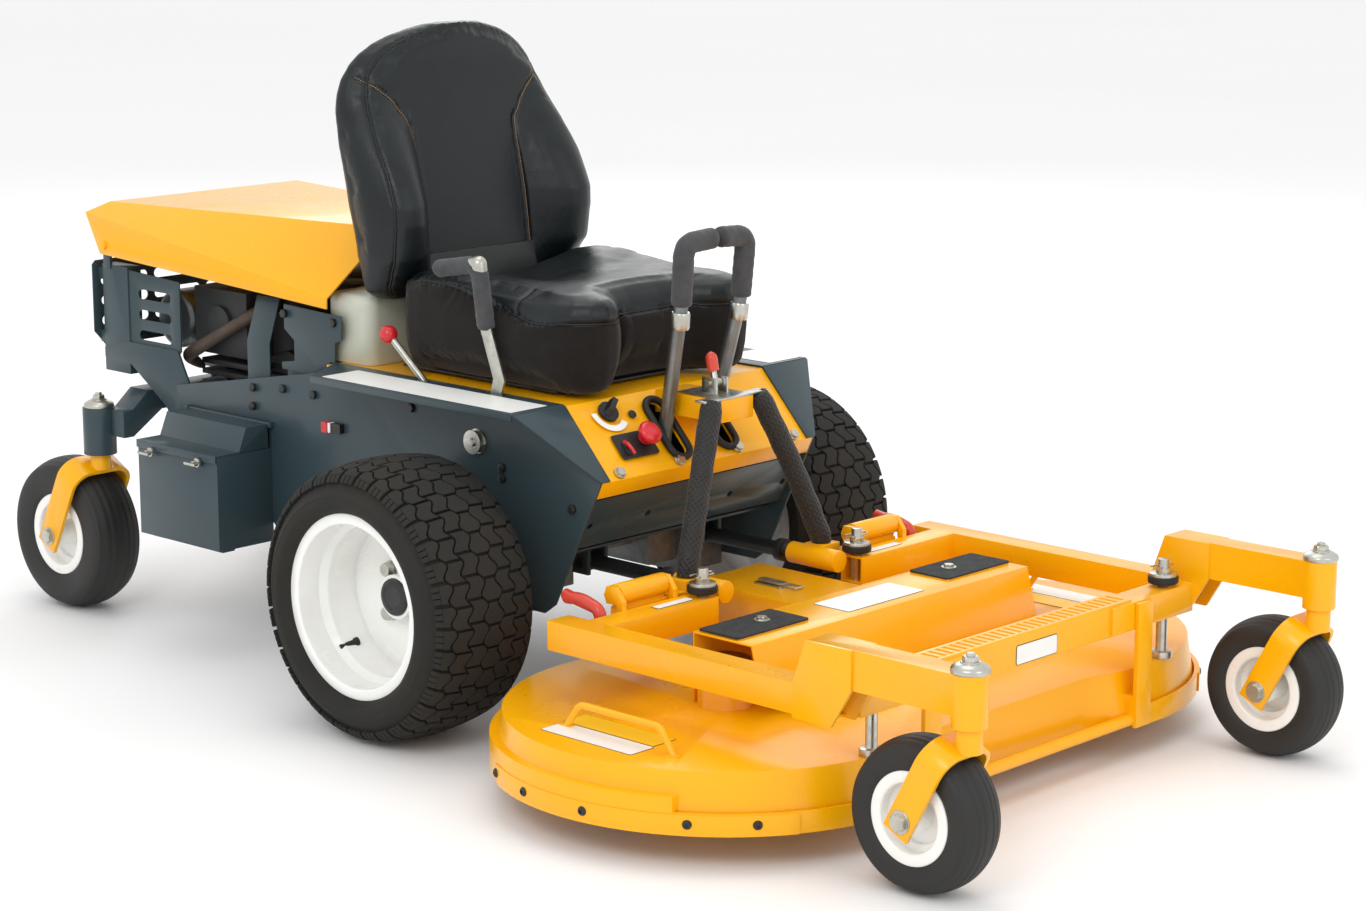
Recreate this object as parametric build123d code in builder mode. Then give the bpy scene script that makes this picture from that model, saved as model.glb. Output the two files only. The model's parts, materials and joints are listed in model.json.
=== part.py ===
"""Zero turn mower: tractor with a tilt-up, front mounted, two-blade deck.

Frame: +Z up, +X the driver's left, -Y the front, origin on the ground under the middle of the drive axle.
Every size is in millimetres. Pairs are mirrored about the plane x = 0: side -1 is the driver's right.
"""

from build123d import *
import math
import os

SIDES = {"right": -1, "left": 1}
RUN = 0.05            # radial clearance of a shaft that turns in a bore
GAP = 0.4             # clearance between faces that slide past each other

# --- chassis ---
PLATE_X = 278.5       # inner face of a side plate
PLATE_T = 5.0
DECK_Z = 590.0        # top of the cowl and the side plates
SHEET = 4.0           # cowl and fender sheet
COWL_FRONT_Y = -197.0
PANEL_LOW_Y = -309.0
PANEL_LOW_Z = 470.0
COWL_REAR_Y = 425.0
LEG_TIP_Y = -193.0    # lower front tip of a side plate
LEG_TIP_Z = 232.0
PLATE_REAR_Y = 884.0
PLATE_REAR_Z = 493.0
FLOOR_Z = 348.0       # underside of the engine floor
FLOOR_T = 5.0
LOW_FLOOR_Z = 320.0   # underside of the floor over the drives
STEP_Y = 170.0
FENDER_INNER = 261.0
FENDER_OUTER = 388.0
FENDER_REAR_Y = 344.0

# --- drive wheels ---
DRIVE_X = 486.0
DRIVE_R = 252.0
DRIVE_W = 250.0
DRIVE_RIM_R = 167.5
DISC_OFFSET = -25.0   # wheel disc, measured outward from the middle of the tyre
DRIVE_SHAFT_R = 15.0
LUG_PCD = 114.3

# --- tail ---
TAIL_X = 330.0
TAIL_Y = 1081.0
TAIL_TRAIL = 90.0
TAIL_R = 157.0
TAIL_W = 112.0
TAIL_RIM_R = 84.0
TAIL_BARREL_Z = (333.0, 429.0)
TAIL_BARREL_R = 33.5
TAIL_PIVOT_Z = 441.0
TAIL_PIN_R = 14.0
TAIL_BEAM_Y = (1010.0, 1070.0)

# --- deck casters ---
CASTER_X = 484.0
CASTER_Y = -1285.0
CASTER_TRAIL = 81.0
CASTER_R = 124.0
CASTER_W = 93.0
CASTER_RIM_R = 75.0
CASTER_BARREL_Z = (278.0, 363.0)
CASTER_BARREL_R = 28.5
STEM_R = 12.0
AXLE_R = 8.0

# --- carrier frame ---
TUBE = 51.0
RAIL_Z = 235.5        # underside of the rails
RAIL_REAR_Y = -405.0
RAIL_FRONT_Y = -1020.0
STUB_Y = -480.0
STUB_INNER_X = 193.0
CROSS_Y = -1022.5
ARM_Z = (297.0, 362.0)
ARM_REAR_Y = -985.0
WALL = 4.0
HITCH_Y = -427.0
HITCH_Z = 308.0
HITCH_PIN_R = 10.0
HITCH_TUBE_X = (255.0, 368.0)
HITCH_TUBE_R = 19.0

# --- hitch arms and springs ---
ARM_PIVOT_Y = -150.0
ARM_PIVOT_Z = 283.0
ARM_X = 152.0
ARM_R = 14.0
SPRING_TOP = (61.0, -367.0, 588.0)
SPRING_LOW = (183.0, -419.0, 290.0)
SLEEVE_R = 20.5

# --- deck ---
LOBE_X = 347.0
LOBE_Y = -662.0
SHELL_TOP_Z = 158.0
SHELL_LOW_Z = 62.0
SHELL_TOP_R = 373.0
SHELL_LOW_R = 388.0
SHELL_T = 4.0
DECK_REAR_Y = -400.0
DECK_FRONT_Y = -1008.0
BAND_Z = (59.0, 95.0, 120.0)
BAND_T = 6.0
BAND_END_X = 313.0
BLADE_R = 330.0
SPINDLE_R = 12.5
PULLEY_R = 44.0
COVER_Z = 279.0
COVER_X = 372.0
COVER_Y = (-745.0, -612.0)
REAR_PIN = (207.0, STUB_Y)
FRONT_PIN = (397.0, CROSS_Y)
PIN_R = 10.0
PIN_TOP_Z = 336.0

# --- levers and panel ---
LEVER_X = 70.0
LEVER_PIVOT_Y = -238.0
LEVER_PIVOT_Z = 400.0
LEVER_PIN_R = 6.0
LEVER_ROD_R = 9.0
LEVER_LOW_R = 13.0     # thicker lower half of a steering lever
GRIP_R = 19.0
SLOT_LENGTH = 118.0
SLOT_WIDTH = 36.0

# --- hood ---
HOOD_T = 3.0
HOOD_X = 281.0
HOOD_TOP_Z = 836.0
HOOD_REAR_TOP = (1132.0, 245.0)
HOOD_TIP = (1169.0, 814.0)
HOOD_FRONT_Y = 420.0
HOOD_CREASE_Z = 717.0
HOOD_FRONT_LOW_Z = 697.0
HOOD_REAR_LOW = (1125.0, 733.0)
HOOD_HINGE = (1108.0, 752.0)
HINGE_R = 5.0

# --- seat ---
SEAT_LOW_Z = 600.0
SEAT_TOP_Z = 765.0
SEAT_HALF = 245.0
SEAT_REAR_Y = 285.0
SEAT_FRONT_Y = -228.0
PAN_T = 5.0

# --- battery box ---
BOX_X = (-418.0, -283.5)
BOX_Y = (590.0, 836.0)
BOX_Z = (222.0, 407.0)
BOX_T = 3.0
LID_Z = 455.0
LID_HINGE = (-289.0, 453.75)


def finish(piece, label):
    """Name a finished piece and write it."""
    piece.part.label = label
    export_step(piece.part, f"parts/{label}.step")


def block(x, y, z, mode=Mode.ADD):
    """Box between the pairs of limits x, y and z, in any order."""
    (x0, x1), (y0, y1), (z0, z1) = sorted(x), sorted(y), sorted(z)
    with Locations(((x0 + x1) / 2, (y0 + y1) / 2, (z0 + z1) / 2)):
        Box(x1 - x0, y1 - y0, z1 - z0, mode=mode)


def rod(start, end, radius, mode=Mode.ADD):
    """Round bar from one point to another."""
    axis = Vector(*end) - Vector(*start)
    with BuildSketch(Plane(origin=start, z_dir=axis)) as section:
        Circle(radius)
    extrude(section.sketch, amount=axis.length, mode=mode)


def side_plate(points, x, mode=Mode.ADD):
    """Plate whose (y, z) outline runs through points, between the two x limits."""
    x0, x1 = sorted(x)
    with BuildSketch(Plane.YZ.offset(x0)) as section:
        Polygon(*points, align=None)
    extrude(section.sketch, amount=x1 - x0, mode=mode)


def flat_plate(points, z, mode=Mode.ADD):
    """Plate whose (x, y) outline runs through points, between the two z limits."""
    z0, z1 = sorted(z)
    with BuildSketch(Plane.XY.offset(z0)) as section:
        Polygon(*points, align=None)
    extrude(section.sketch, amount=z1 - z0, mode=mode)


def square_tube(x, y, z, run):
    """Square tube between limits, hollow along the axis named by run."""
    block(x, y, z)
    inner = {"x": x, "y": y, "z": z}
    for name, (low, high) in list(inner.items()):
        low, high = sorted((low, high))
        inner[name] = (low, high) if name == run else (low + WALL, high - WALL)
    block(inner["x"], inner["y"], inner["z"], Mode.SUBTRACT)


def span(side, near, far):
    """Limits along X of a feature that lies between near and far on one side."""
    return (side * near, side * far)


def panel_plane():
    """Slanted control panel: origin at its top edge, local y up the slope, z outward."""
    run = Vector(0, COWL_FRONT_Y - PANEL_LOW_Y, DECK_Z - PANEL_LOW_Z).normalized()
    return Plane(origin=(0, COWL_FRONT_Y, DECK_Z), x_dir=(1, 0, 0), z_dir=Vector(1, 0, 0).cross(run))


PANEL = panel_plane()
PANEL_LENGTH = math.dist((COWL_FRONT_Y, DECK_Z), (PANEL_LOW_Y, PANEL_LOW_Z))


def panel_point(x, drop, out=0.0):
    """Point on the panel: drop below its top edge along the slope, out along its normal."""
    return PANEL.from_local_coords(Vector(x, -drop, out))


os.makedirs("parts", exist_ok=True)

# ============================ chassis ============================
LEVER_SLOT_X = 272.5  # lever that comes up through the right fender
PARK_PIVOT = (-20.0, 540.0)
CHOKE_PIVOT = (118.0, 560.0)

PLATE_OUTLINE = [
    (PLATE_REAR_Y, PLATE_REAR_Z),
    (350.0, DECK_Z),
    (COWL_FRONT_Y, DECK_Z),
    (PANEL_LOW_Y, PANEL_LOW_Z),
    (LEG_TIP_Y, LEG_TIP_Z),
    (-165.0, 212.0),
    (180.0, 212.0),
    (560.0, 232.0),
    (640.0, 300.0),
    (860.0, FLOOR_Z),
]

with BuildPart() as side_plates:
    for side in SIDES.values():
        side_plate(PLATE_OUTLINE, span(side, PLATE_X, PLATE_X + PLATE_T))
        rod((side * (PLATE_X - 1), 0, DRIVE_R), (side * (PLATE_X + PLATE_T + 1), 0, DRIVE_R), 50, Mode.SUBTRACT)
finish(side_plates, "side_plates")

with BuildPart() as fenders:
    for side in SIDES.values():
        outline = [
            (side * FENDER_INNER, COWL_FRONT_Y),
            (side * FENDER_OUTER, COWL_FRONT_Y),
            (side * FENDER_OUTER, FENDER_REAR_Y),
            (side * (PLATE_X + PLATE_T), COWL_REAR_Y - 20),
            (side * FENDER_INNER, COWL_REAR_Y),
        ]
        flat_plate(outline, (DECK_Z, DECK_Z + SHEET))
        with BuildSketch(PANEL):
            Polygon(
                (side * FENDER_INNER, 0.0),
                (side * FENDER_OUTER, 0.0),
                (side * (PLATE_X + PLATE_T), -PANEL_LENGTH),
                (side * FENDER_INNER, -PANEL_LENGTH),
                align=None,
            )
        extrude(amount=SHEET)
        lip = span(side, FENDER_OUTER - SHEET, FENDER_OUTER)
        block(lip, (COWL_FRONT_Y + SHEET, FENDER_REAR_Y), (DECK_Z - 10, DECK_Z))
    for pivot_y in (PARK_PIVOT[0] - 22, CHOKE_PIVOT[0] + 20):
        block((-LEVER_SLOT_X - 5, -LEVER_SLOT_X + 5), (pivot_y - 40, pivot_y + 40), (DECK_Z - 1, DECK_Z + 5),
              Mode.SUBTRACT)
finish(fenders, "fenders")
LEVER_SLOTS_Y = (PARK_PIVOT[0] - 22, CHOKE_PIVOT[0] + 20)

KNOB_AT = (-175.0, 30.0)     # on the panel: x, and drop below its top edge
HOUR_AT = (-124.0, 44.0)
PTO_AT = (-133.0, 98.0)
KEY_AT = (-184.0, 110.0)
CONSOLE_X = 42.0
CONSOLE_FRONT_Y = -372.0
CONSOLE_Z = (552.0, DECK_Z + 2)

with BuildPart() as cowl:
    with BuildSketch(Plane.YZ.offset(-PLATE_X)):
        with BuildLine():
            edge = Polyline(
                (COWL_REAR_Y, DECK_Z),
                (COWL_FRONT_Y, DECK_Z),
                (PANEL_LOW_Y, PANEL_LOW_Z),
                (PANEL_LOW_Y + 14, PANEL_LOW_Z - 30),
            )
            offset(edge, amount=SHEET, side=Side.LEFT)
        make_face()
    extrude(amount=2 * PLATE_X)
    block((-CONSOLE_X, CONSOLE_X), (CONSOLE_FRONT_Y, COWL_FRONT_Y - 12), CONSOLE_Z)
    with BuildSketch(PANEL.offset(-30)) as slots:
        with Locations((-LEVER_X + 8, -85), (LEVER_X - 8, -85)):
            SlotOverall(SLOT_LENGTH, SLOT_WIDTH, rotation=90)
    extrude(amount=45, mode=Mode.SUBTRACT)
    with BuildSketch(PANEL.offset(-10)):
        for place in (KNOB_AT, KEY_AT):
            with Locations((place[0], -place[1])):
                Circle(5 + RUN)
        with Locations((PTO_AT[0], -PTO_AT[1])):
            Circle(9 + RUN)
    extrude(amount=20, mode=Mode.SUBTRACT)
    for slot_y in LEVER_SLOTS_Y:
        block((-LEVER_SLOT_X - 5, -LEVER_SLOT_X + 5), (slot_y - 40, slot_y + 40), (DECK_Z - 5, DECK_Z + 1),
              Mode.SUBTRACT)
finish(cowl, "cowl")

LEG_RUN = Vector(0, LEG_TIP_Y - PANEL_LOW_Y, LEG_TIP_Z - PANEL_LOW_Z).normalized()
CROSS_PLANE = Plane(
    origin=Vector(0, PANEL_LOW_Y, PANEL_LOW_Z) + LEG_RUN.cross(Vector(-1, 0, 0)) * 10,
    x_dir=(1, 0, 0),
    z_dir=Vector(1, 0, 0).cross(LEG_RUN * -1),
)
CROSS_HOLES_X = (-256.0, -109.0, 109.0, 256.0)
CROSS_HOLE_R = 6.5
CROSS_DROP = (46.0, 150.0)
CROSS_HOLE_DROP = 104.0
EAR_T = 4.0
LEVER_EARS = (LEVER_X - 26, LEVER_X + 22)

with BuildPart() as front_cross_member:
    with BuildSketch(CROSS_PLANE):
        with Locations((0, -sum(CROSS_DROP) / 2)):
            Rectangle(2 * PLATE_X, CROSS_DROP[1] - CROSS_DROP[0])
        for hole_x in CROSS_HOLES_X:
            with Locations((hole_x, -CROSS_HOLE_DROP)):
                Circle(CROSS_HOLE_R, mode=Mode.SUBTRACT)
    extrude(amount=-PLATE_T)
    for side in SIDES.values():
        for ear in LEVER_EARS:
            side_plate(
                [(LEVER_PIVOT_Y - 29, LEVER_PIVOT_Z + 14), (LEVER_PIVOT_Y - 15.5, LEVER_PIVOT_Z - 14),
                 (LEVER_PIVOT_Y + 12, LEVER_PIVOT_Z - 14), (LEVER_PIVOT_Y + 12, LEVER_PIVOT_Z + 14)],
                span(side, ear, ear + EAR_T),
            )
        rod((side * 30, LEVER_PIVOT_Y, LEVER_PIVOT_Z), (side * 110, LEVER_PIVOT_Y, LEVER_PIVOT_Z),
            LEVER_PIN_R + RUN, Mode.SUBTRACT)
finish(front_cross_member, "front_cross_member")

LUG_X = (ARM_X - 26, ARM_X + 18)
LUG_T = 8.0
with BuildPart() as engine_plate:
    side_plate(
        [
            (-200.0, LOW_FLOOR_Z),
            (STEP_Y, LOW_FLOOR_Z),
            (STEP_Y, FLOOR_Z),
            (PLATE_REAR_Y - 4, FLOOR_Z),
            (PLATE_REAR_Y - 4, FLOOR_Z + FLOOR_T),
            (STEP_Y - FLOOR_T, FLOOR_Z + FLOOR_T),
            (STEP_Y - FLOOR_T, LOW_FLOOR_Z + FLOOR_T),
            (-200.0, LOW_FLOOR_Z + FLOOR_T),
        ],
        (-PLATE_X, PLATE_X),
    )
    for side in SIDES.values():
        for lug in LUG_X:
            block(span(side, lug, lug + LUG_T), (ARM_PIVOT_Y - 20, ARM_PIVOT_Y + 20), (ARM_PIVOT_Z - 20, LOW_FLOOR_Z))
        rod((side * (LUG_X[0] - 5), ARM_PIVOT_Y, ARM_PIVOT_Z), (side * (LUG_X[1] + 20), ARM_PIVOT_Y, ARM_PIVOT_Z),
            HITCH_PIN_R + RUN, Mode.SUBTRACT)
finish(engine_plate, "engine_plate")

AXLE_HOUSING_X = 335.0
with BuildPart() as transaxles:
    for side in SIDES.values():
        block(span(side, 170, PLATE_X), (-80, 95), (DRIVE_R - 62, LOW_FLOOR_Z))
        block(span(side, 100, 170), (-55, 60), (DRIVE_R - 40, LOW_FLOOR_Z))
        rod((side * (PLATE_X - 1), 0, DRIVE_R), (side * AXLE_HOUSING_X, 0, DRIVE_R), 48)
        rod((side * 230, 0, DRIVE_R), (side * (AXLE_HOUSING_X + 1), 0, DRIVE_R), DRIVE_SHAFT_R + RUN, Mode.SUBTRACT)
    rod((-100, 0, DRIVE_R + 10), (100, 0, DRIVE_R + 10), 16)
finish(transaxles, "transaxles")

FLOOR_TOP = FLOOR_Z + FLOOR_T
ENGINE_Y = (650.0, 905.0)
with BuildPart() as engine_block:
    block((-170, 170), (ENGINE_Y[0], 866), (FLOOR_TOP, 520))
    rod((0, 775, 520), (0, 775, 640), 150)
    rod((0, 775, 640), (0, 775, 676), 118)
    for side in SIDES.values():
        block(span(side, 120, 214), (742, ENGINE_Y[1]), (552, 684))
        for level in range(5):
            low = 440 + level * 22
            block(span(side, 120, 206), (735, 898), (low, low + 10))
        rod((side * 214, 820, 618), (side * 224, 820, 618), 34)
    rod((0, 690, 676), (0, 690, 690), 44)
    rod((-150, 700, 520), (150, 700, 520), 46)
finish(engine_block, "engine_block")

MUFFLER = (1010.0, 600.0)
with BuildPart() as muffler:
    rod((-185, *MUFFLER), (185, *MUFFLER), 60)
    fillet(muffler.edges().filter_by(GeomType.CIRCLE), 12)
    for side in SIDES.values():
        rod((side * 120, ENGINE_Y[1], 590), (side * 120, MUFFLER[0], 590), 17)
    rod((150, MUFFLER[0], 560), (150, MUFFLER[0], 500), 19)
finish(muffler, "muffler")

HOSE_R = 13.0
HOSE_X = -238.0
with BuildPart() as air_hose:
    with BuildLine():
        hose_path = FilletPolyline(
            (-170, 700, 662), (HOSE_X, 690, 652), (HOSE_X, 905, 545), (-170, 925, 500), radius=24
        )
    with BuildSketch(Plane(origin=hose_path @ 0, z_dir=hose_path % 0)):
        Circle(HOSE_R)
    sweep()
    block((-300, 300), (640, ENGINE_Y[1]), (430, 720), Mode.INTERSECT)
    block((-172, 0), (600, 930), (400, 720), Mode.SUBTRACT)
finish(air_hose, "air_hose")

GUARD_X = 270.0
GUARD_Y = (882.0, 1045.0)
GUARD_Z = (550.0, 700.0)
POST_Y = (1045.0, 1128.0)
POST_Z = (493.0, 712.0)
GUARD_T = 3.0
REAR_GUARD_Y = (1152.0, 1155.0)
GUARD_SLOTS_Z = (578.0, 619.6, 661.3)
with BuildPart() as engine_guards:
    for side in SIDES.values():
        plate = span(side, GUARD_X - GUARD_T, GUARD_X)
        side_plate(
            [
                (GUARD_Y[0], GUARD_Z[0] + 8), (GUARD_Y[0] + 8, GUARD_Z[0]), (POST_Y[0], GUARD_Z[0]),
                (POST_Y[0], GUARD_Z[1] + 6), (GUARD_Y[0], GUARD_Z[1] - 2),
            ],
            plate,
        )
        with BuildSketch(Plane.YZ.offset(side * GUARD_X)):
            for slot_z in GUARD_SLOTS_Z:
                with Locations((sum(GUARD_Y) / 2, slot_z)):
                    SlotOverall(104, 20)
        extrude(amount=GUARD_T + 1, both=True, mode=Mode.SUBTRACT)
        block(span(side, GUARD_X - 30, GUARD_X + 4), POST_Y, POST_Z)
        block(span(side, GUARD_X - 31, GUARD_X), (POST_Y[0] + 4, POST_Y[1] - 4), (POST_Z[0] - 1, POST_Z[1] - 4),
              Mode.SUBTRACT)
        # ear of the hood hinge, on the post's head
        ear = span(side, HOOD_X - HOOD_T - GAP - 6, HOOD_X - HOOD_T - GAP)
        block(ear, (HOOD_HINGE[0] - 11, HOOD_HINGE[0] + 11), (POST_Z[1] - 8, HOOD_HINGE[1]))
        rod((ear[0], *HOOD_HINGE), (ear[1], *HOOD_HINGE), 11)
        block(span(side, GUARD_X - 8, HOOD_X - HOOD_T - GAP), (HOOD_HINGE[0] - 11, HOOD_HINGE[0] + 11),
              (POST_Z[1] - 8, POST_Z[1]))
        rod((side * 250, *HOOD_HINGE), (side * (HOOD_X + 1), *HOOD_HINGE), HINGE_R, Mode.SUBTRACT)
        # gusset that carries the post from the side plate
        side_plate(
            [
                (845, 380), (885, 380), (930, 442), (1050, 520), (POST_Y[1], 520),
                (POST_Y[1], 540), (POST_Y[0], GUARD_Z[0] + 10), (GUARD_Y[0] + 6, GUARD_Z[0] + 10), (845, 480),
            ],
            span(side, GUARD_X, GUARD_X + 5),
        )
        block(span(side, GUARD_X + 5, PLATE_X), (850, 878), (400, 470))
        for level in (560.0, 690.0):
            block(span(side, GUARD_X - 12, GUARD_X - 4), (POST_Y[1], REAR_GUARD_Y[0]), (level - 12, level + 12))
    with BuildSketch(Plane.XZ.offset(-REAR_GUARD_Y[0])):
        Polygon(
            (-HOOD_X, 570), (-HOOD_X + 28, 538), (HOOD_X - 28, 538), (HOOD_X, 570),
            (HOOD_X, 708), (HOOD_X - 8, 716), (-HOOD_X + 8, 716), (-HOOD_X, 708),
            align=None,
        )
        for slot_z in GUARD_SLOTS_Z:
            for slot_x in (-202, -67, 67, 202):
                with Locations((slot_x, slot_z + 12)):
                    SlotOverall(118, 20, mode=Mode.SUBTRACT)
    extrude(amount=-(REAR_GUARD_Y[1] - REAR_GUARD_Y[0]))
finish(engine_guards, "engine_guards")

TANK_X = 240.0
TANK_Y = (345.0, 472.0)
TANK_Z = (DECK_Z, 722.0)
with BuildPart() as fuel_tank:
    block((-TANK_X, TANK_X), TANK_Y, TANK_Z)
    fillet(fuel_tank.edges().filter_by(Axis.Z), 26)
    fillet(fuel_tank.faces().sort_by(Axis.Z)[-1].edges(), 16)
    rod((-150, 412, TANK_Z[1] - 1), (-150, 412, TANK_Z[1] + 14), 26)
    rod((-150, 412, TANK_Z[1] + 14), (-150, 412, TANK_Z[1] + 34), 34)
finish(fuel_tank, "fuel_tank")

CRADLE_X = 258.0
with BuildPart() as tank_cradle:
    for side in SIDES.values():
        panel = span(side, CRADLE_X - 3, CRADLE_X)
        side_plate(
            [(441, 560), (583, 560), (583, 574), (545, 580), (545, 620), (574, 640), (574, 688), (405, 682),
             (405, 636), (425, 628), (425, DECK_Z), (441, DECK_Z)],
            panel,
        )
        block(span(side, CRADLE_X, PLATE_X), (446, 566), (500, 540))
        block(span(side, CRADLE_X - 3, PLATE_X), (446, 566), (540, 545))
        side_plate([(446, 545), (566, 545), (566, 562), (446, 562)], panel)
        # bent strap that stays the hood support to the engine floor
        block(panel, (620, 688), (FLOOR_TOP, 604))
        with BuildSketch(Plane.XZ.offset(-620)):
            Polygon(
                (side * (CRADLE_X - 3), 604), (side * CRADLE_X, 604),
                (side * (CRADLE_X - 28), 690), (side * (CRADLE_X - 31), 690),
                align=None,
            )
        extrude(amount=-68)
finish(tank_cradle, "tank_cradle")

with BuildPart() as battery_box:
    block(BOX_X, BOX_Y, BOX_Z)
    block((BOX_X[0] + BOX_T, BOX_X[1] - BOX_T), (BOX_Y[0] + BOX_T, BOX_Y[1] - BOX_T), (BOX_Z[0] + BOX_T, 500),
          Mode.SUBTRACT)
    for tab_y in (BOX_Y[0] + 30, BOX_Y[1] - 30):
        block((BOX_X[0] + 20, BOX_X[0] + 50), (tab_y - 14, tab_y + 14), (BOX_Z[0] - 8, BOX_Z[0]))
    for low, high in ((BOX_Y[0] - 9, BOX_Y[0] - 1), (BOX_Y[1] + 1, BOX_Y[1] + 9)):
        block((LID_HINGE[0] - 5, BOX_X[1]), (low, high), (LID_HINGE[1] - 5, LID_HINGE[1] + 5))
    rod((LID_HINGE[0], BOX_Y[0] - 5, LID_HINGE[1]), (LID_HINGE[0], BOX_Y[1] + 5, LID_HINGE[1]), 2)
finish(battery_box, "battery_box")

BRACKET_T = 4.0
LATCH_PIVOT = (-318.0, 614.0)
with BuildPart() as console_bracket:
    block((-40, 40), (CONSOLE_FRONT_Y, -262), (CONSOLE_Z[1], CONSOLE_Z[1] + BRACKET_T))
    block((-84, 84), (CONSOLE_FRONT_Y, CONSOLE_FRONT_Y + 26), (CONSOLE_Z[1], CONSOLE_Z[1] + BRACKET_T))
    for side in SIDES.values():
        block(span(side, 12, 16), (LATCH_PIVOT[0] - 18, LATCH_PIVOT[0] + 18),
              (CONSOLE_Z[1] + BRACKET_T, LATCH_PIVOT[1] + 10))
    rod((-20, *LATCH_PIVOT), (20, *LATCH_PIVOT), 4 + RUN, Mode.SUBTRACT)
finish(console_bracket, "console_bracket")

RAIL_X = (120.0, 150.0)
PAN_Z = SEAT_LOW_Z - PAN_T
with BuildPart() as seat_mount:
    for side in SIDES.values():
        block(span(side, *RAIL_X), (-70, 230), (DECK_Z, PAN_Z - GAP))
finish(seat_mount, "seat_mount")

MOUNT_Y = (PLATE_REAR_Y - 4, 1082.0)
MOUNT_TOP = 482.0
with BuildPart() as tail_mount:
    block((-70, 70), MOUNT_Y, (MOUNT_TOP, MOUNT_TOP + 8))
    block((-70, 70), (MOUNT_Y[0] - 8, MOUNT_Y[0]), (FLOOR_TOP, MOUNT_TOP + 8))
    for low, high in ((TAIL_BEAM_Y[0] - 10, TAIL_BEAM_Y[0] - 2), (TAIL_BEAM_Y[1] + 2, TAIL_BEAM_Y[1] + 10)):
        block((-45, 45), (low, high), (TAIL_PIVOT_Z - 30, MOUNT_TOP))
    rod((0, TAIL_BEAM_Y[0] - 10, TAIL_PIVOT_Z), (0, TAIL_BEAM_Y[1] + 10, TAIL_PIVOT_Z), TAIL_PIN_R)
    for side in SIDES.values():
        side_plate([(MOUNT_Y[0], FLOOR_Z), (MOUNT_Y[0] + 20, FLOOR_Z + 20), (1000, MOUNT_TOP), (MOUNT_Y[0], MOUNT_TOP)],
                   span(side, 56, 62))
finish(tail_mount, "tail_mount")

SIDE_BOLTS = [(639, 520), (641, 483), (549, 529), (458, 529), (180, 541), (-62, 464), (-62, 444), (-240, 415)]
BOLT_R = 9.0
with BuildPart() as frame_bolts:
    for side in SIDES.values():
        for place in SIDE_BOLTS:
            with BuildSketch(Plane.YZ.offset(side * (PLATE_X + PLATE_T))):
                with Locations(place):
                    RegularPolygon(BOLT_R, 6)
            extrude(amount=side * 7)
        for place_x in (77, 230):
            with BuildSketch(PANEL.offset(0)):
                with Locations((side * place_x, -PANEL_LENGTH + 12)):
                    RegularPolygon(BOLT_R - 2, 6)
            extrude(amount=5)
        for place in ((570, 670), (426, 668)):
            with BuildSketch(Plane.YZ.offset(side * CRADLE_X)):
                with Locations(place):
                    RegularPolygon(BOLT_R, 6)
            extrude(amount=side * 7)
        rod((side * (PLATE_X + PLATE_T), 4, 503), (side * (PLATE_X + PLATE_T + 14), 4, 503), 19)
finish(frame_bolts, "frame_bolts")

# ============================ hood ============================
REAR_TOP_Y, REAR_TOP_X = HOOD_REAR_TOP
crease_rear = Vector(-HOOD_X, *HOOD_TIP)
crease_front = Vector(-HOOD_X, HOOD_FRONT_Y, HOOD_CREASE_Z)
top_rear = Vector(-REAR_TOP_X, REAR_TOP_Y, HOOD_TOP_Z)
facet_normal = (crease_front - crease_rear).cross(top_rear - crease_rear).normalized()
if facet_normal.Z < 0:
    facet_normal = facet_normal * -1
with BuildPart() as hood:
    side_plate(
        [
            HOOD_REAR_LOW, HOOD_TIP, (REAR_TOP_Y, HOOD_TOP_Z), (HOOD_FRONT_Y, HOOD_TOP_Z),
            (HOOD_FRONT_Y, HOOD_FRONT_LOW_Z),
        ],
        (-HOOD_X, HOOD_X),
    )
    split(bisect_by=Plane(origin=crease_rear, z_dir=facet_normal), keep=Keep.BOTTOM)
    split(
        bisect_by=Plane(
            origin=(HOOD_X, *HOOD_TIP), z_dir=(-facet_normal.X, facet_normal.Y, facet_normal.Z)
        ),
        keep=Keep.BOTTOM,
    )
    underside = hood.faces().sort_by(Axis.Z)[0]
    front = hood.faces().sort_by(Axis.Y)[0]
    offset(amount=-HOOD_T, openings=[underside, front])
    for side in SIDES.values():
        rod((side * (HOOD_X - HOOD_T - GAP - 8), *HOOD_HINGE), (side * (HOOD_X + 6), *HOOD_HINGE), HINGE_R - RUN)
        rod((side * HOOD_X, *HOOD_HINGE), (side * (HOOD_X + 6), *HOOD_HINGE), 9)
        # notch in the rear wall that lets it swing past the hinge's ear
        block(span(side, HOOD_X - HOOD_T - 14, HOOD_X - HOOD_T), (HOOD_HINGE[0] + 7, HOOD_HINGE[0] + 44),
              (HOOD_REAR_LOW[1] - 8, HOOD_REAR_LOW[1] + 26), Mode.SUBTRACT)
finish(hood, "hood")

# ============================ seat ============================
with BuildPart() as seat_pan:
    block((-205, 205), (-120, SEAT_REAR_Y + 6), (PAN_Z, SEAT_LOW_Z))
    block((-150, 150), (SEAT_REAR_Y, SEAT_REAR_Y + 6), (SEAT_LOW_Z, 800))
finish(seat_pan, "seat_pan")

with BuildPart() as seat_cushion:
    lobes = [(0, -150), (62, -150), (112, SEAT_FRONT_Y), (205, -222), (236, -180), (SEAT_HALF, 0), (238, SEAT_REAR_Y)]
    outline = lobes + [(-x, y) for x, y in reversed(lobes[1:])]
    flat_plate(outline, (SEAT_LOW_Z, SEAT_TOP_Z))
    fillet(seat_cushion.edges().filter_by(Axis.Z).sort_by(Axis.Y)[2:8], 24)
    chamfer(seat_cushion.faces().sort_by(Axis.Z)[0].edges().sort_by(Axis.Y)[0:2], 12)
    fillet(seat_cushion.faces().sort_by(Axis.Z)[-1].edges(), 18)
finish(seat_cushion, "seat_cushion")

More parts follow.
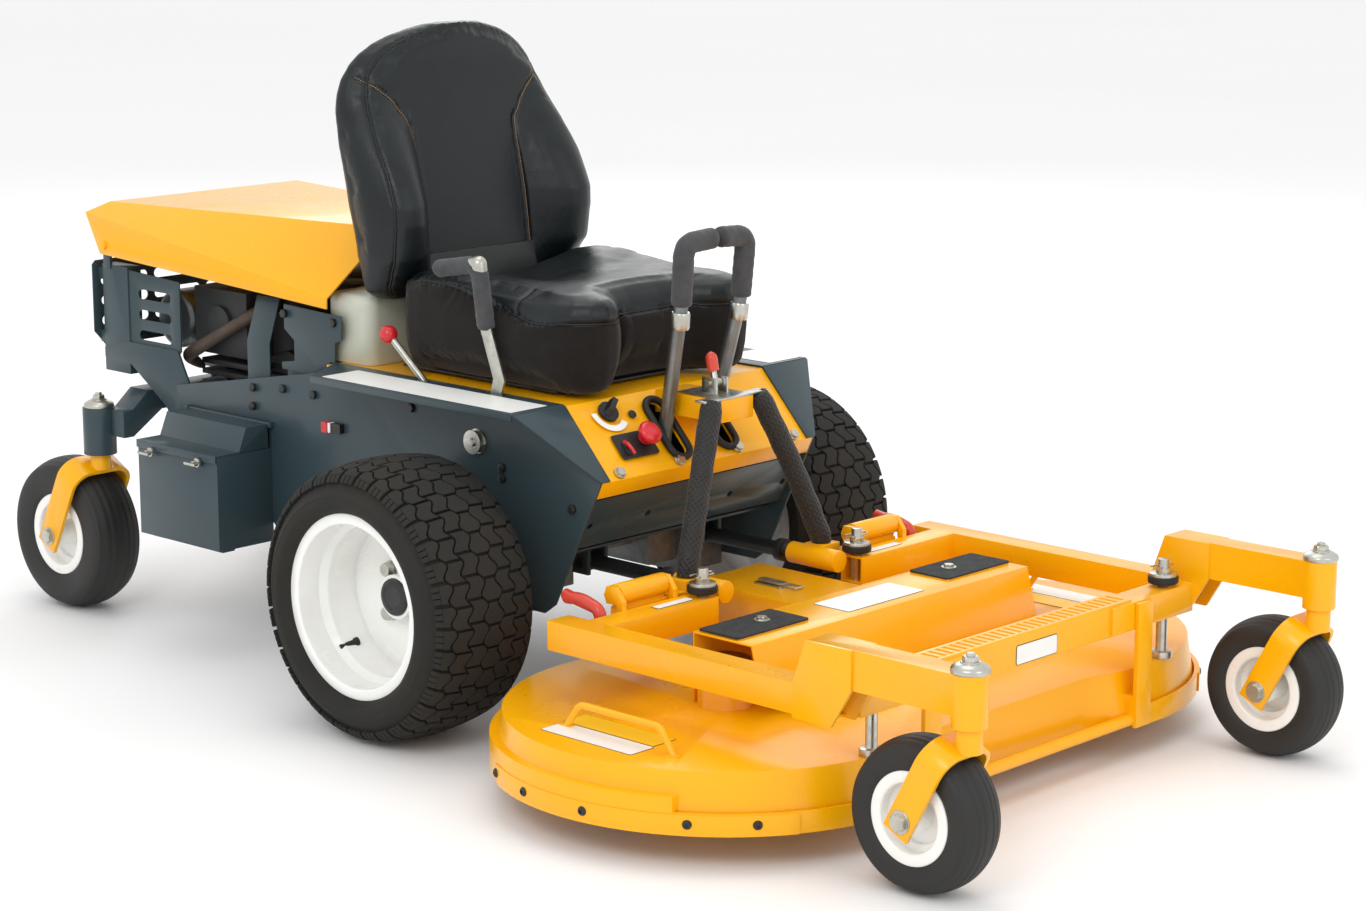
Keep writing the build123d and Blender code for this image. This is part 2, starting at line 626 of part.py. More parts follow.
BACK_LOW_Z = 728.0
with BuildPart() as seat_back:
    side_plate(
        [
            (SEAT_REAR_Y + 6, BACK_LOW_Z + 10), (SEAT_REAR_Y + 6, 800), (330, 1030), (352, 1150), (350, 1205),
            (368, 1228), (398, 1222), (428, 1150), (436, 1070), (398, 900), (362, 780), (340, BACK_LOW_Z),
            (SEAT_REAR_Y + 14, BACK_LOW_Z),
        ],
        (-290, 290),
    )
    for side in SIDES.values():
        side_plate(
            [
                (SEAT_REAR_Y + 6, 760), (250, 772), (212, 850), (212, 920), (250, 1010), (352, 1140), (362, 900),
                (340, 760),
            ],
            span(side, 195, 290),
        )
    with BuildSketch(Plane.XZ.offset(-600)):
        half = [(0, 728), (215, 728), (268, 770), (284, 870), (276, 980), (256, 1070), (222, 1150), (174, 1200), (95, 1228)]
        Polygon(*(half + [(-x, z) for x, z in reversed(half[1:])]), align=None)
    extrude(amount=600, mode=Mode.INTERSECT)
finish(seat_back, "seat_back")

# ============================ battery lid ============================
LID_T = 2.5
with BuildPart() as battery_lid:
    with BuildSketch(Plane.XZ.offset(-BOX_Y[0])):
        with BuildLine():
            lid_line = Polyline(
                (LID_HINGE[0], LID_Z), (-345, LID_Z), (-364, BOX_Z[1] + 0.5 + LID_T), (BOX_X[0] - 4, BOX_Z[1] + 0.5 + LID_T),
                (BOX_X[0] - 4, BOX_Z[1] - 12),
            )
            offset(lid_line, amount=LID_T, side=Side.LEFT)
        make_face()
    extrude(amount=-(BOX_Y[1] - BOX_Y[0]))
    rod((LID_HINGE[0], BOX_Y[0], LID_HINGE[1]), (LID_HINGE[0], BOX_Y[1], LID_HINGE[1]), 4)
    for wall_y in (BOX_Y[0], BOX_Y[1] - LID_T):
        with BuildSketch(Plane.XZ.offset(-wall_y)):
            Polygon((LID_HINGE[0] - 3, LID_Z), (-345, LID_Z), (-364, BOX_Z[1] + 1), (LID_HINGE[0] - 3, BOX_Z[1] + 1),
                    align=None)
        extrude(amount=-LID_T)
    rod((LID_HINGE[0], BOX_Y[0] - 1, LID_HINGE[1]), (LID_HINGE[0], BOX_Y[1] + 1, LID_HINGE[1]), 2 + RUN, Mode.SUBTRACT)
finish(battery_lid, "battery_lid")


# ============================ wheels ============================
def wheel_plane(centre, out):
    """Plane through a wheel's axle: local x runs outward along the axle, local y is the radius."""
    return Plane(origin=centre, x_dir=(out, 0, 0), z_dir=(0, -out, 0))


def make_tyre(centre, out, radius, rim_radius, width, crown, wall):
    """Hollow tyre, open towards its rim; crown is the rise of the tread's middle over its shoulders."""
    half = width / 2
    bead = half * 0.82
    seat = rim_radius - 16
    with BuildPart() as tyre:
        with BuildSketch(wheel_plane(centre, out)):
            with BuildLine():
                shoulder = (half * 0.8, radius - crown)
                lip = rim_radius + 1
                Polyline((-bead, lip), (-bead, seat), (bead, seat), (bead, lip))
                ThreePointArc((bead, lip), (half, (seat + radius) / 2), shoulder)
                ThreePointArc(shoulder, (0, radius), (-shoulder[0], shoulder[1]))
                ThreePointArc((-shoulder[0], shoulder[1]), (-half, (seat + radius) / 2), (-bead, lip))
            make_face()
            with BuildLine():
                inner = half * 0.8 - wall
                lining = bead - wall
                roof = radius - crown - wall
                Polyline((-lining, lip), (-lining, seat - 1), (lining, seat - 1), (lining, lip))
                ThreePointArc((lining, lip), (half - wall, (seat + radius) / 2), (inner, roof))
                ThreePointArc((inner, roof), (0, radius - wall - 4), (-inner, roof))
                ThreePointArc((-inner, roof), (-half + wall, (seat + radius) / 2), (-lining, lip))
            make_face(mode=Mode.SUBTRACT)
        revolve(axis=Axis(centre, (1, 0, 0)))
    return tyre


def make_rim(centre, out, rim_radius, width, disc, hub_radius, hub_half, bore):
    """Pressed rim with a flat disc, set disc outward of the middle, and a hub with a bore."""
    half = width / 2
    seat = rim_radius - 16
    gauge = 4.0
    with BuildPart() as rim:
        with BuildSketch(wheel_plane(centre, out)):
            with BuildLine():
                rim_line = Polyline(
                    (-half - 3, rim_radius), (-half, rim_radius), (-half, seat), (-half * 0.55, seat),
                    (-half * 0.42, seat - 10), (half * 0.42, seat - 10), (half * 0.55, seat), (half, seat),
                    (half, rim_radius), (half + 3, rim_radius),
                )
                offset(rim_line, amount=gauge, side=Side.RIGHT)
            make_face()
            with Locations((disc, (seat - 12 + bore) / 2)):
                Rectangle(gauge + 1, seat - 12 - bore)
            with Locations((0, (hub_radius + bore) / 2)):
                Rectangle(2 * hub_half, hub_radius - bore)
        revolve(axis=Axis(centre, (1, 0, 0)))
    return rim


DISC_HALF = 2.5
for name, side in SIDES.items():
    centre = (side * DRIVE_X, 0, DRIVE_R)
    tyre = make_tyre(centre, side, DRIVE_R, DRIVE_RIM_R, DRIVE_W, 10, 12)
    finish(tyre, f"drive_tyre_{name}")
    rim_half = DRIVE_W / 2 * 0.82
    with BuildPart() as drive_wheel:
        add(make_rim(centre, side, DRIVE_RIM_R, 2 * rim_half, DISC_OFFSET, 40, 6, 5).part)
        disc_x = side * (DRIVE_X + DISC_OFFSET)
        rod((side * 240, 0, DRIVE_R), (disc_x, 0, DRIVE_R), DRIVE_SHAFT_R)
        rod((disc_x - side * 30, 0, DRIVE_R), (disc_x, 0, DRIVE_R), 76)
        rod((disc_x, 0, DRIVE_R), (disc_x + side * 34, 0, DRIVE_R), 33)
        for turn in range(4):
            angle = math.radians(45 + 90 * turn)
            lug_y = LUG_PCD / 2 * math.cos(angle)
            lug_z = DRIVE_R + LUG_PCD / 2 * math.sin(angle)
            rod((disc_x, lug_y, lug_z), (disc_x + side * 18, lug_y, lug_z), 10)
    finish(drive_wheel, f"drive_wheel_{name}")


def make_fork(x, pivot_y, pivot_z, trail, radius, width, strap, clearance):
    """Swivel fork: one flat strap bent over the wheel, a stem in the barrel and the axle bolt."""
    inner = width / 2 + clearance
    outer = inner + 8
    axle = Vector(x, pivot_y + trail, radius)
    crown = radius + 9
    lean = math.atan2(trail, pivot_z[0] - radius)
    across = Vector(0, -math.cos(lean), -math.sin(lean))
    bend = 40.0
    with BuildPart() as fork:
        with BuildSketch(Plane(origin=axle, x_dir=(1, 0, 0), z_dir=across)):
            with BuildLine():
                FilletPolyline((-outer, -24), (-outer, crown + 8), (outer, crown + 8), (outer, -24), radius=bend)
                Line((outer, -24), (inner, -24))
                FilletPolyline((inner, -24), (inner, crown), (-inner, crown), (-inner, -24), radius=bend - 8)
                Line((-inner, -24), (-outer, -24))
            make_face()
        extrude(amount=strap / 2, both=True)
        low = radius + (crown + 4) * math.cos(lean)
        rod((x, pivot_y, low - 8), (x, pivot_y, pivot_z[0] - 1), STEM_R + 9)
        rod((x, pivot_y, pivot_z[0] - 1), (x, pivot_y, pivot_z[1] + 1), STEM_R)
        rod((x, pivot_y, pivot_z[1] + 1), (x, pivot_y, pivot_z[1] + 9), CASTER_BARREL_R - 2)
        rod(axle - Vector(outer + 8, 0, 0), axle + Vector(outer + 8, 0, 0), AXLE_R)
        for end in (-1, 1):
            rod(axle + Vector(end * outer, 0, 0), axle + Vector(end * (outer + 8), 0, 0), 12)
    return fork


for name, side in SIDES.items():
    fork = make_fork(side * CASTER_X, CASTER_Y, CASTER_BARREL_Z, CASTER_TRAIL, CASTER_R, CASTER_W, 50, 7)
    finish(fork, f"caster_fork_{name}")
    centre = (side * CASTER_X, CASTER_Y + CASTER_TRAIL, CASTER_R)
    finish(make_tyre(centre, side, CASTER_R, CASTER_RIM_R, CASTER_W, 12, 9), f"caster_tyre_{name}")
    rim = make_rim(centre, side, CASTER_RIM_R, CASTER_W * 0.82, 8, 24, CASTER_W / 2 + 5, AXLE_R + RUN)
    finish(rim, f"caster_wheel_{name}")

    fork = make_fork(side * TAIL_X, TAIL_Y, TAIL_BARREL_Z, TAIL_TRAIL, TAIL_R, TAIL_W, 56, 8)
    finish(fork, f"tail_fork_{name}")
    centre = (side * TAIL_X, TAIL_Y + TAIL_TRAIL, TAIL_R)
    finish(make_tyre(centre, side, TAIL_R, TAIL_RIM_R, TAIL_W, 14, 10), f"tail_tyre_{name}")
    rim = make_rim(centre, side, TAIL_RIM_R, TAIL_W * 0.82, 10, 26, TAIL_W / 2 + 6, AXLE_R + RUN)
    finish(rim, f"tail_wheel_{name}")

with BuildPart() as tail_beam:
    block((-235, 235), TAIL_BEAM_Y, (420, 462))
    for side in SIDES.values():
        with BuildSketch(Plane.XZ.offset(-TAIL_BEAM_Y[0])):
            Polygon(
                (side * 225, 420), (side * 225, 462), (side * 258, 462), (side * 298, 428), (side * 322, 426),
                (side * 322, 372), (side * 298, 372),
                align=None,
            )
        extrude(amount=-(TAIL_BEAM_Y[1] - TAIL_BEAM_Y[0]))
        rod((side * TAIL_X, TAIL_Y, TAIL_BARREL_Z[0]), (side * TAIL_X, TAIL_Y, TAIL_BARREL_Z[1]), TAIL_BARREL_R)
        rod((side * TAIL_X, TAIL_Y, TAIL_BARREL_Z[0] - 1), (side * TAIL_X, TAIL_Y, TAIL_BARREL_Z[1] + 60),
            STEM_R + RUN, Mode.SUBTRACT)
    rod((0, TAIL_BEAM_Y[0], TAIL_PIVOT_Z), (0, TAIL_BEAM_Y[1], TAIL_PIVOT_Z), 28)
    rod((0, TAIL_BEAM_Y[0] - 1, TAIL_PIVOT_Z), (0, TAIL_BEAM_Y[1] + 1, TAIL_PIVOT_Z), TAIL_PIN_R + RUN, Mode.SUBTRACT)
finish(tail_beam, "tail_beam")

# ============================ levers and controls ============================
GRIP_BEND = (-318.0, 872.0)
FOAM_LOW = (-309.0, 768.0)
CLAMP_LOW = (-297.0, 712.0)
for name, side in SIDES.items():
    with BuildPart() as steering_lever:
        rod((side * (LEVER_X - 27), LEVER_PIVOT_Y, LEVER_PIVOT_Z), (side * (LEVER_X + 27), LEVER_PIVOT_Y, LEVER_PIVOT_Z),
            LEVER_PIN_R)
        rod((side * (LEVER_X - 18), LEVER_PIVOT_Y, LEVER_PIVOT_Z), (side * (LEVER_X + 4), LEVER_PIVOT_Y, LEVER_PIVOT_Z), 14)
        rod((side * 62, LEVER_PIVOT_Y, LEVER_PIVOT_Z), (side * 62, -253, 526), LEVER_LOW_R)
        rod((side * 62, -253, 526), (side * 75, *CLAMP_LOW), LEVER_LOW_R)
        rod((side * 75, *CLAMP_LOW), (side * 78, *FOAM_LOW), LEVER_LOW_R)
        rod((side * 78, *FOAM_LOW), (side * 81, *GRIP_BEND), LEVER_ROD_R)
        rod((side * 81, *GRIP_BEND), (side * 8, -320, 876), LEVER_ROD_R)
        with Locations((side * 62, -253, 526), (side * 75, *CLAMP_LOW)):
            Sphere(LEVER_LOW_R)
        with Locations((side * 81, *GRIP_BEND)):
            Sphere(LEVER_ROD_R)
    finish(steering_lever, f"steering_lever_{name}")
    with BuildPart() as steering_grip:
        rod((side * 78, *FOAM_LOW), (side * 81, *GRIP_BEND), GRIP_R)
        rod((side * 81, *GRIP_BEND), (side * 5, -320, 876), GRIP_R)
        with Locations((side * 81, *GRIP_BEND)):
            Sphere(GRIP_R)
        add(steering_lever.part, mode=Mode.SUBTRACT)
    finish(steering_grip, f"steering_grip_{name}")

PARK_T = 5.0
PARK_X = (-LEVER_SLOT_X - PARK_T / 2, -LEVER_SLOT_X + PARK_T / 2)
with BuildPart() as parking_lever:
    side_plate([(-34, 540), (-6, 540), (-30, 620), (8, 722), (-18, 728), (-58, 620)], PARK_X)
    rod((PARK_X[0], *PARK_PIVOT), (PARK_X[1], *PARK_PIVOT), 14)
    rod((-PLATE_X, *PARK_PIVOT), (PARK_X[1] + 6, *PARK_PIVOT), 5)
    rod((-LEVER_SLOT_X, -8, 716), (-LEVER_SLOT_X, 7, 824), GRIP_R - 4)
    rod((-LEVER_SLOT_X, 7, 824), (-LEVER_SLOT_X, 110, 806), GRIP_R - 4)
    with Locations((-LEVER_SLOT_X, 7, 824)):
        Sphere(GRIP_R - 4)
    block((-400, -200), (-100, 200), (500, 526), Mode.SUBTRACT)
finish(parking_lever, "parking_lever")

CHOKE_TIP = (254.0, 668.0)
with BuildPart() as choke_lever:
    rod((PARK_X[0] + 1, *CHOKE_PIVOT), (PARK_X[1] - 1, *CHOKE_PIVOT), 9)
    rod((-LEVER_SLOT_X, *CHOKE_PIVOT), (-LEVER_SLOT_X, *CHOKE_TIP), 3.5)
    with Locations((-LEVER_SLOT_X, *CHOKE_TIP)):
        Sphere(16)
finish(choke_lever, "choke_lever")

with BuildPart() as throttle_knob:
    rod(panel_point(*KNOB_AT, -8), panel_point(*KNOB_AT, 2), 5)
    with BuildSketch(PANEL.offset(1)):
        with Locations((KNOB_AT[0], -KNOB_AT[1])):
            Circle(20)
    extrude(amount=8)
    with BuildSketch(PANEL.offset(9)):
        with Locations((KNOB_AT[0] + 3, -KNOB_AT[1] + 4)):
            Rectangle(36, 15, rotation=38)
    extrude(amount=16, taper=8)
finish(throttle_knob, "throttle_knob")

with BuildPart() as pto_knob:
    rod(panel_point(*PTO_AT, -10), panel_point(*PTO_AT, 22), 9)
    rod(panel_point(*PTO_AT, 22), panel_point(*PTO_AT, 32), 19)
finish(pto_knob, "pto_knob")

with BuildPart() as key_switch:
    rod(panel_point(*KEY_AT, -8), panel_point(*KEY_AT, 2), 5)
    with BuildSketch(PANEL.offset(1)):
        with Locations((KEY_AT[0], -KEY_AT[1])):
            Rectangle(11, 26)
    extrude(amount=8)
finish(key_switch, "key_switch")

with BuildPart() as latch_lever:
    rod((-11, *LATCH_PIVOT), (11, *LATCH_PIVOT), 8)
    rod((-19, *LATCH_PIVOT), (19, *LATCH_PIVOT), 4)
    rod((0, *LATCH_PIVOT), (0, LATCH_PIVOT[0] + 10, LATCH_PIVOT[1] + 44), 6)
finish(latch_lever, "latch_lever")

# ============================ hitch arms ============================
ARM_END_Y = -400.0
with BuildPart() as hitch_arms:
    for side in SIDES.values():
        rod((side * ARM_X, ARM_PIVOT_Y, ARM_PIVOT_Z), (side * ARM_X, ARM_END_Y, ARM_PIVOT_Z), ARM_R)
        rod((side * (LUG_X[0] - 2), ARM_PIVOT_Y, ARM_PIVOT_Z), (side * (LUG_X[1] + LUG_T + 2), ARM_PIVOT_Y, ARM_PIVOT_Z),
            HITCH_PIN_R)
        rod((side * (LUG_X[0] + LUG_T + 1), ARM_PIVOT_Y, ARM_PIVOT_Z), (side * (LUG_X[1] - 1), ARM_PIVOT_Y, ARM_PIVOT_Z), 17)
        rod((side * ARM_X, -340, ARM_PIVOT_Z), (side * ARM_X, -356, ARM_PIVOT_Z), ARM_R + 7)
finish(hitch_arms, "hitch_arms")

BAR_Y = (HITCH_Y - 12, HITCH_Y + 12)
BAR_Z = (262.0, 286.0)
SPRING_SEAT_Z = 304.0
with BuildPart() as hitch_frame:
    for side in SIDES.values():
        rod((side * ARM_X, -372, ARM_PIVOT_Z), (side * ARM_X, -486, ARM_PIVOT_Z), ARM_R + 6)
        block(span(side, ARM_X + ARM_R + 2, HITCH_TUBE_X[1]), BAR_Y, BAR_Z)
        rod((side * HITCH_TUBE_X[0], HITCH_Y, HITCH_Z), (side * HITCH_TUBE_X[1], HITCH_Y, HITCH_Z), HITCH_TUBE_R)
        block(span(side, HITCH_TUBE_X[0], HITCH_TUBE_X[1]), (HITCH_Y - 8, HITCH_Y + 8), (BAR_Z[1] - 1, HITCH_Z))
        block(span(side, ARM_X + 4, 206), (-440, -398), (BAR_Z[1] - 4, SPRING_SEAT_Z))
        rod((side * (HITCH_TUBE_X[0] - 1), HITCH_Y, HITCH_Z), (side * (HITCH_TUBE_X[1] + 1), HITCH_Y, HITCH_Z),
            HITCH_PIN_R + RUN, Mode.SUBTRACT)
        rod((side * ARM_X, -372, ARM_PIVOT_Z), (side * ARM_X, -478, ARM_PIVOT_Z), ARM_R + RUN, Mode.SUBTRACT)
        rod((side * ARM_X, -478, ARM_PIVOT_Z), (side * ARM_X, -486, ARM_PIVOT_Z), ARM_R + 6)
finish(hitch_frame, "hitch_frame")

with BuildPart() as spring_sleeves:
    for side in SIDES.values():
        rod((side * SPRING_LOW[0], SPRING_LOW[1], SPRING_LOW[2]), (side * SPRING_TOP[0], SPRING_TOP[1], SPRING_TOP[2]),
            SLEEVE_R)
    block((-300, 300), (-500, -300), (CONSOLE_Z[1], 700), Mode.SUBTRACT)
    block((-300, 300), (-500, -300), (200, SPRING_SEAT_Z), Mode.SUBTRACT)
    block((-CONSOLE_X, CONSOLE_X), (CONSOLE_FRONT_Y, -200), CONSOLE_Z, Mode.SUBTRACT)
finish(spring_sleeves, "spring_sleeves")

# ============================ carrier frame ============================
RAIL_TOP = RAIL_Z + TUBE
STUB = (STUB_Y - TUBE / 2, STUB_Y + TUBE / 2)
CROSS = (CROSS_Y - TUBE / 2, CROSS_Y + TUBE / 2)
HANDLE_X = 415.0
HANDLE_PIVOT = (-442.0, 266.0)
EARS_X = ((HITCH_TUBE_X[0] - 12, HITCH_TUBE_X[0] - 2), (HITCH_TUBE_X[1] + 2, HITCH_TUBE_X[1] + 12))
with BuildPart() as carrier_frame:
    for side in SIDES.values():
        rail_x = span(side, CASTER_X - TUBE / 2, CASTER_X + TUBE / 2)
        square_tube(rail_x, (RAIL_FRONT_Y, RAIL_REAR_Y), (RAIL_Z, RAIL_TOP), "y")
        square_tube(rail_x, (CASTER_Y + 10, ARM_REAR_Y), ARM_Z, "y")
        for plate_x in (CASTER_X - TUBE / 2 - 6, CASTER_X + TUBE / 2):
            side_plate(
                [(-958, RAIL_TOP), (-985, ARM_Z[1]), (-1078, ARM_Z[1]), (-1078, ARM_Z[0]), (-1038, RAIL_Z - 4),
                 (-958, RAIL_Z - 4)],
                span(side, plate_x, plate_x + 6),
            )
        block(rail_x, (RAIL_FRONT_Y, ARM_REAR_Y), (RAIL_TOP - 1, ARM_Z[0] + 1))
        square_tube(span(side, STUB_INNER_X, CASTER_X - TUBE / 2 + 1), STUB, (RAIL_Z, RAIL_TOP), "x")
        square_tube(span(side, 0, CASTER_X - TUBE / 2 - 5), CROSS, (RAIL_Z, RAIL_TOP), "x")
        rod((side * CASTER_X, CASTER_Y, CASTER_BARREL_Z[0]), (side * CASTER_X, CASTER_Y, CASTER_BARREL_Z[1]),
            CASTER_BARREL_R)
        rod((side * CASTER_X, CASTER_Y, 200), (side * CASTER_X, CASTER_Y, 400), STEM_R + RUN, Mode.SUBTRACT)
        for ear in EARS_X:
            side_plate(
                [(STUB[1] - 1, RAIL_Z + 4), (STUB[1] - 1, RAIL_TOP + 14), (HITCH_Y - 10, HITCH_Z + 16),
                 (HITCH_Y + 10, HITCH_Z + 16), (HITCH_Y + 16, HITCH_Z), (HITCH_Y + 10, HITCH_Z - 14),
                 (HITCH_Y - 14, HITCH_Z - 14), (STUB[1] + 5, RAIL_Z + 4)],
                span(side, *ear),
            )
        rod((side * EARS_X[0][0], HITCH_Y, HITCH_Z), (side * EARS_X[1][1], HITCH_Y, HITCH_Z), HITCH_PIN_R)
        for ear in (HANDLE_X - 10, HANDLE_X + 6):
            block(span(side, ear, ear + 4), (STUB[1] - 1, HANDLE_PIVOT[0] + 7),
                  (HANDLE_PIVOT[1] - 7, HANDLE_PIVOT[1] + 7))
        rod((side * (HANDLE_X - 12), *HANDLE_PIVOT), (side * (HANDLE_X + 12), *HANDLE_PIVOT), 4 + RUN, Mode.SUBTRACT)
        for pin_x, pin_y in (REAR_PIN, FRONT_PIN):
            rod((side * pin_x, pin_y, 200), (side * pin_x, pin_y, 300), PIN_R + 0.5, Mode.SUBTRACT)
        block(span(side, 205, 312), (CROSS[0] - 6, CROSS[0]), (RAIL_Z + 2, RAIL_TOP))
    with BuildSketch(Plane.XY.offset(RAIL_TOP)):
        with Locations((0, CROSS_Y)):
            Rectangle(2 * 267, TUBE)
    extrude(amount=5)
    with BuildSketch(Plane.XY.offset(RAIL_TOP + 2)):
        with GridLocations(18, 0, 29, 1):
            with Locations((0, CROSS_Y)):
                Rectangle(9, TUBE - 14)
    extrude(amount=4, mode=Mode.SUBTRACT)
finish(carrier_frame, "carrier_frame")

for name, side in SIDES.items():
    with BuildPart() as hitch_handle:
        rod((side * (HANDLE_X - 10), *HANDLE_PIVOT), (side * (HANDLE_X + 10), *HANDLE_PIVOT), 4)
        rod((side * (HANDLE_X - 5), *HANDLE_PIVOT), (side * (HANDLE_X + 5), *HANDLE_PIVOT), 9)
        side_plate([(HANDLE_PIVOT[0] - 4, HANDLE_PIVOT[1]), (HANDLE_PIVOT[0] + 5, HANDLE_PIVOT[1]), (-421, 297), (-430, 297)],
                   span(side, HANDLE_X - 3, HANDLE_X + 3))
        rod((side * HANDLE_X, -434, 292), (side * HANDLE_X, -352, 306), 10)
    finish(hitch_handle, f"hitch_handle_{name}")


# ============================ deck ============================
def lobe(side, top_radius, low_radius, top_z, low_z, mode=Mode.ADD):
    """Tapered round body of one cutting chamber."""
    with BuildSketch(Plane.XZ.offset(-LOBE_Y)) as section:
        Polygon((side * LOBE_X, low_z), (side * (LOBE_X + low_radius), low_z), (side * (LOBE_X + top_radius), top_z),
                (side * LOBE_X, top_z), align=None)
    revolve(section.sketch, axis=Axis((side * LOBE_X, LOBE_Y, 0), (0, 0, 1)), mode=mode)


POST_FRONT = CROSS[0] - 6 - GAP
GUARD_POST_X = (270.0, 312.0)
with BuildPart() as deck_shell:
    for side in SIDES.values():
        lobe(side, SHELL_TOP_R, SHELL_LOW_R, SHELL_TOP_Z, SHELL_LOW_Z)
    block((-LOBE_X, LOBE_X), (DECK_FRONT_Y, DECK_REAR_Y), (SHELL_LOW_Z, SHELL_TOP_Z))
    for side in SIDES.values():
        lobe(side, SHELL_TOP_R - SHELL_T, SHELL_LOW_R - SHELL_T, SHELL_TOP_Z - SHELL_T, SHELL_LOW_Z - 1, Mode.SUBTRACT)
    block((-LOBE_X, LOBE_X), (DECK_FRONT_Y + SHELL_T, DECK_REAR_Y - SHELL_T), (SHELL_LOW_Z - 1, SHELL_TOP_Z - SHELL_T),
          Mode.SUBTRACT)
    for side in SIDES.values():
        # spindle housing on the shell's roof
        rod((side * LOBE_X, LOBE_Y, SHELL_TOP_Z - SHELL_T), (side * LOBE_X, LOBE_Y, 200), 46)
        rod((side * LOBE_X, LOBE_Y, SHELL_TOP_Z - 30), (side * LOBE_X, LOBE_Y, SHELL_TOP_Z - SHELL_T), 34)
        rod((side * LOBE_X, LOBE_Y, 100), (side * LOBE_X, LOBE_Y, 210), SPINDLE_R + RUN, Mode.SUBTRACT)
        # stiffening band round the lower edge, in two heights
        with BuildSketch(Plane.XY.offset(BAND_Z[0])):
            with Locations((side * LOBE_X, LOBE_Y)):
                Circle(SHELL_LOW_R + BAND_T)
                Circle(SHELL_LOW_R - 1, mode=Mode.SUBTRACT)
            with Locations((side * (BAND_END_X - 500), LOBE_Y)):
                Rectangle(1000, 1000, mode=Mode.SUBTRACT)
        extrude(amount=BAND_Z[1] - BAND_Z[0])
        with BuildSketch(Plane.XY.offset(BAND_Z[1])):
            with Locations((side * LOBE_X, LOBE_Y)):
                Circle(SHELL_LOW_R + BAND_T)
                Circle(SHELL_LOW_R - 10, mode=Mode.SUBTRACT)
            with Locations((side * (BAND_END_X - 500), LOBE_Y)):
                Rectangle(1000, 1000, mode=Mode.SUBTRACT)
            with Locations((side * LOBE_X, LOBE_Y - 500 - 200)):
                Rectangle(1000, 1000, mode=Mode.SUBTRACT)
        extrude(amount=BAND_Z[2] - BAND_Z[1])
        # bolted lower panel
        with BuildSketch(Plane.XY.offset(BAND_Z[0])):
            with Locations((side * LOBE_X, LOBE_Y)):
                Circle(SHELL_LOW_R + BAND_T + 3)
                Circle(SHELL_LOW_R + BAND_T, mode=Mode.SUBTRACT)
            with Locations((side * (LOBE_X - 300), LOBE_Y)):
                Rectangle(1000, 1000, mode=Mode.SUBTRACT)
            with Locations((side * LOBE_X, LOBE_Y + 500 + 190)):
                Rectangle(1000, 1000, mode=Mode.SUBTRACT)
        extrude(amount=BAND_Z[1] - BAND_Z[0] - 2)
        # front post and the foot bar it carries
        block(span(side, *GUARD_POST_X), (POST_FRONT - 8, POST_FRONT), (BAND_Z[0] + 3, RAIL_TOP - 2))
        block(span(side, *GUARD_POST_X), (POST_FRONT - 1, -1020), (SHELL_LOW_Z + 4, SHELL_TOP_Z - 40))
        # grab handle
        grab_x = side * 636
        for grab_y in (-560, -800):
            block(span(side, 610, 624), (grab_y - 12, grab_y + 12), (SHELL_TOP_Z - SHELL_T, SHELL_TOP_Z + 3))
        with BuildLine():
            grab = FilletPolyline(
                (side * 617, -560, SHELL_TOP_Z), (side * 617, -590, SHELL_TOP_Z + 42),
                (side * 617, -770, SHELL_TOP_Z + 42), (side * 617, -800, SHELL_TOP_Z), radius=20,
            )
        with BuildSketch(Plane(origin=grab @ 0, z_dir=grab % 0)):
            Circle(6)
        sweep(path=grab)
    rod((-GUARD_POST_X[0] - 6, POST_FRONT + 9, 74), (GUARD_POST_X[0] + 6, POST_FRONT + 9, 74), 11)
finish(deck_shell, "deck_shell")

with BuildPart() as hanger_pins:
    for side in SIDES.values():
        for pin_x, pin_y in (REAR_PIN, FRONT_PIN):
            rod((side * pin_x, pin_y, SHELL_TOP_Z), (side * pin_x, pin_y, PIN_TOP_Z), PIN_R)
            rod((side * pin_x, pin_y, RAIL_TOP + 6), (side * pin_x, pin_y, RAIL_TOP + 24), 24)
            rod((side * pin_x, pin_y, SHELL_TOP_Z), (side * pin_x, pin_y, SHELL_TOP_Z + 12), 20)
finish(hanger_pins, "hanger_pins")

COVER_T = 3.0
GEAR_COVER_X = (-78.0, 105.0)
GEAR_COVER_Z = 264.0
GEAR_COVER_REAR_Y = -335.0
with BuildPart() as drive_cover:
    side_plate(
        [
            (COVER_Y[1], SHELL_TOP_Z), (COVER_Y[1], COVER_Z), (COVER_Y[0], COVER_Z), (COVER_Y[0] - 22, 196),
            (COVER_Y[0] - 22, 186), (COVER_Y[0] - 22 + COVER_T, 186), (COVER_Y[0] - 22 + COVER_T, 196),
            (COVER_Y[0] + COVER_T, COVER_Z - COVER_T), (COVER_Y[1] - COVER_T, COVER_Z - COVER_T),
            (COVER_Y[1] - COVER_T, SHELL_TOP_Z),
        ],
        (-COVER_X, COVER_X),
    )
    block(GEAR_COVER_X, (COVER_Y[1], GEAR_COVER_REAR_Y), (SHELL_TOP_Z, GEAR_COVER_Z))
    block((GEAR_COVER_X[0] + COVER_T, GEAR_COVER_X[1] - COVER_T), (COVER_Y[1], GEAR_COVER_REAR_Y - COVER_T),
          (SHELL_TOP_Z - 1, GEAR_COVER_Z - COVER_T), Mode.SUBTRACT)
    for side in SIDES.values():
        pad = span(side, 188, 364)
        block(pad, (-708, -622), (COVER_Z, COVER_Z + 3))
        block(span(side, 120, 150), (COVER_Y[0] - 20, COVER_Y[0] - 20 + COVER_T), (SHELL_TOP_Z, 190))
finish(drive_cover, "drive_cover")

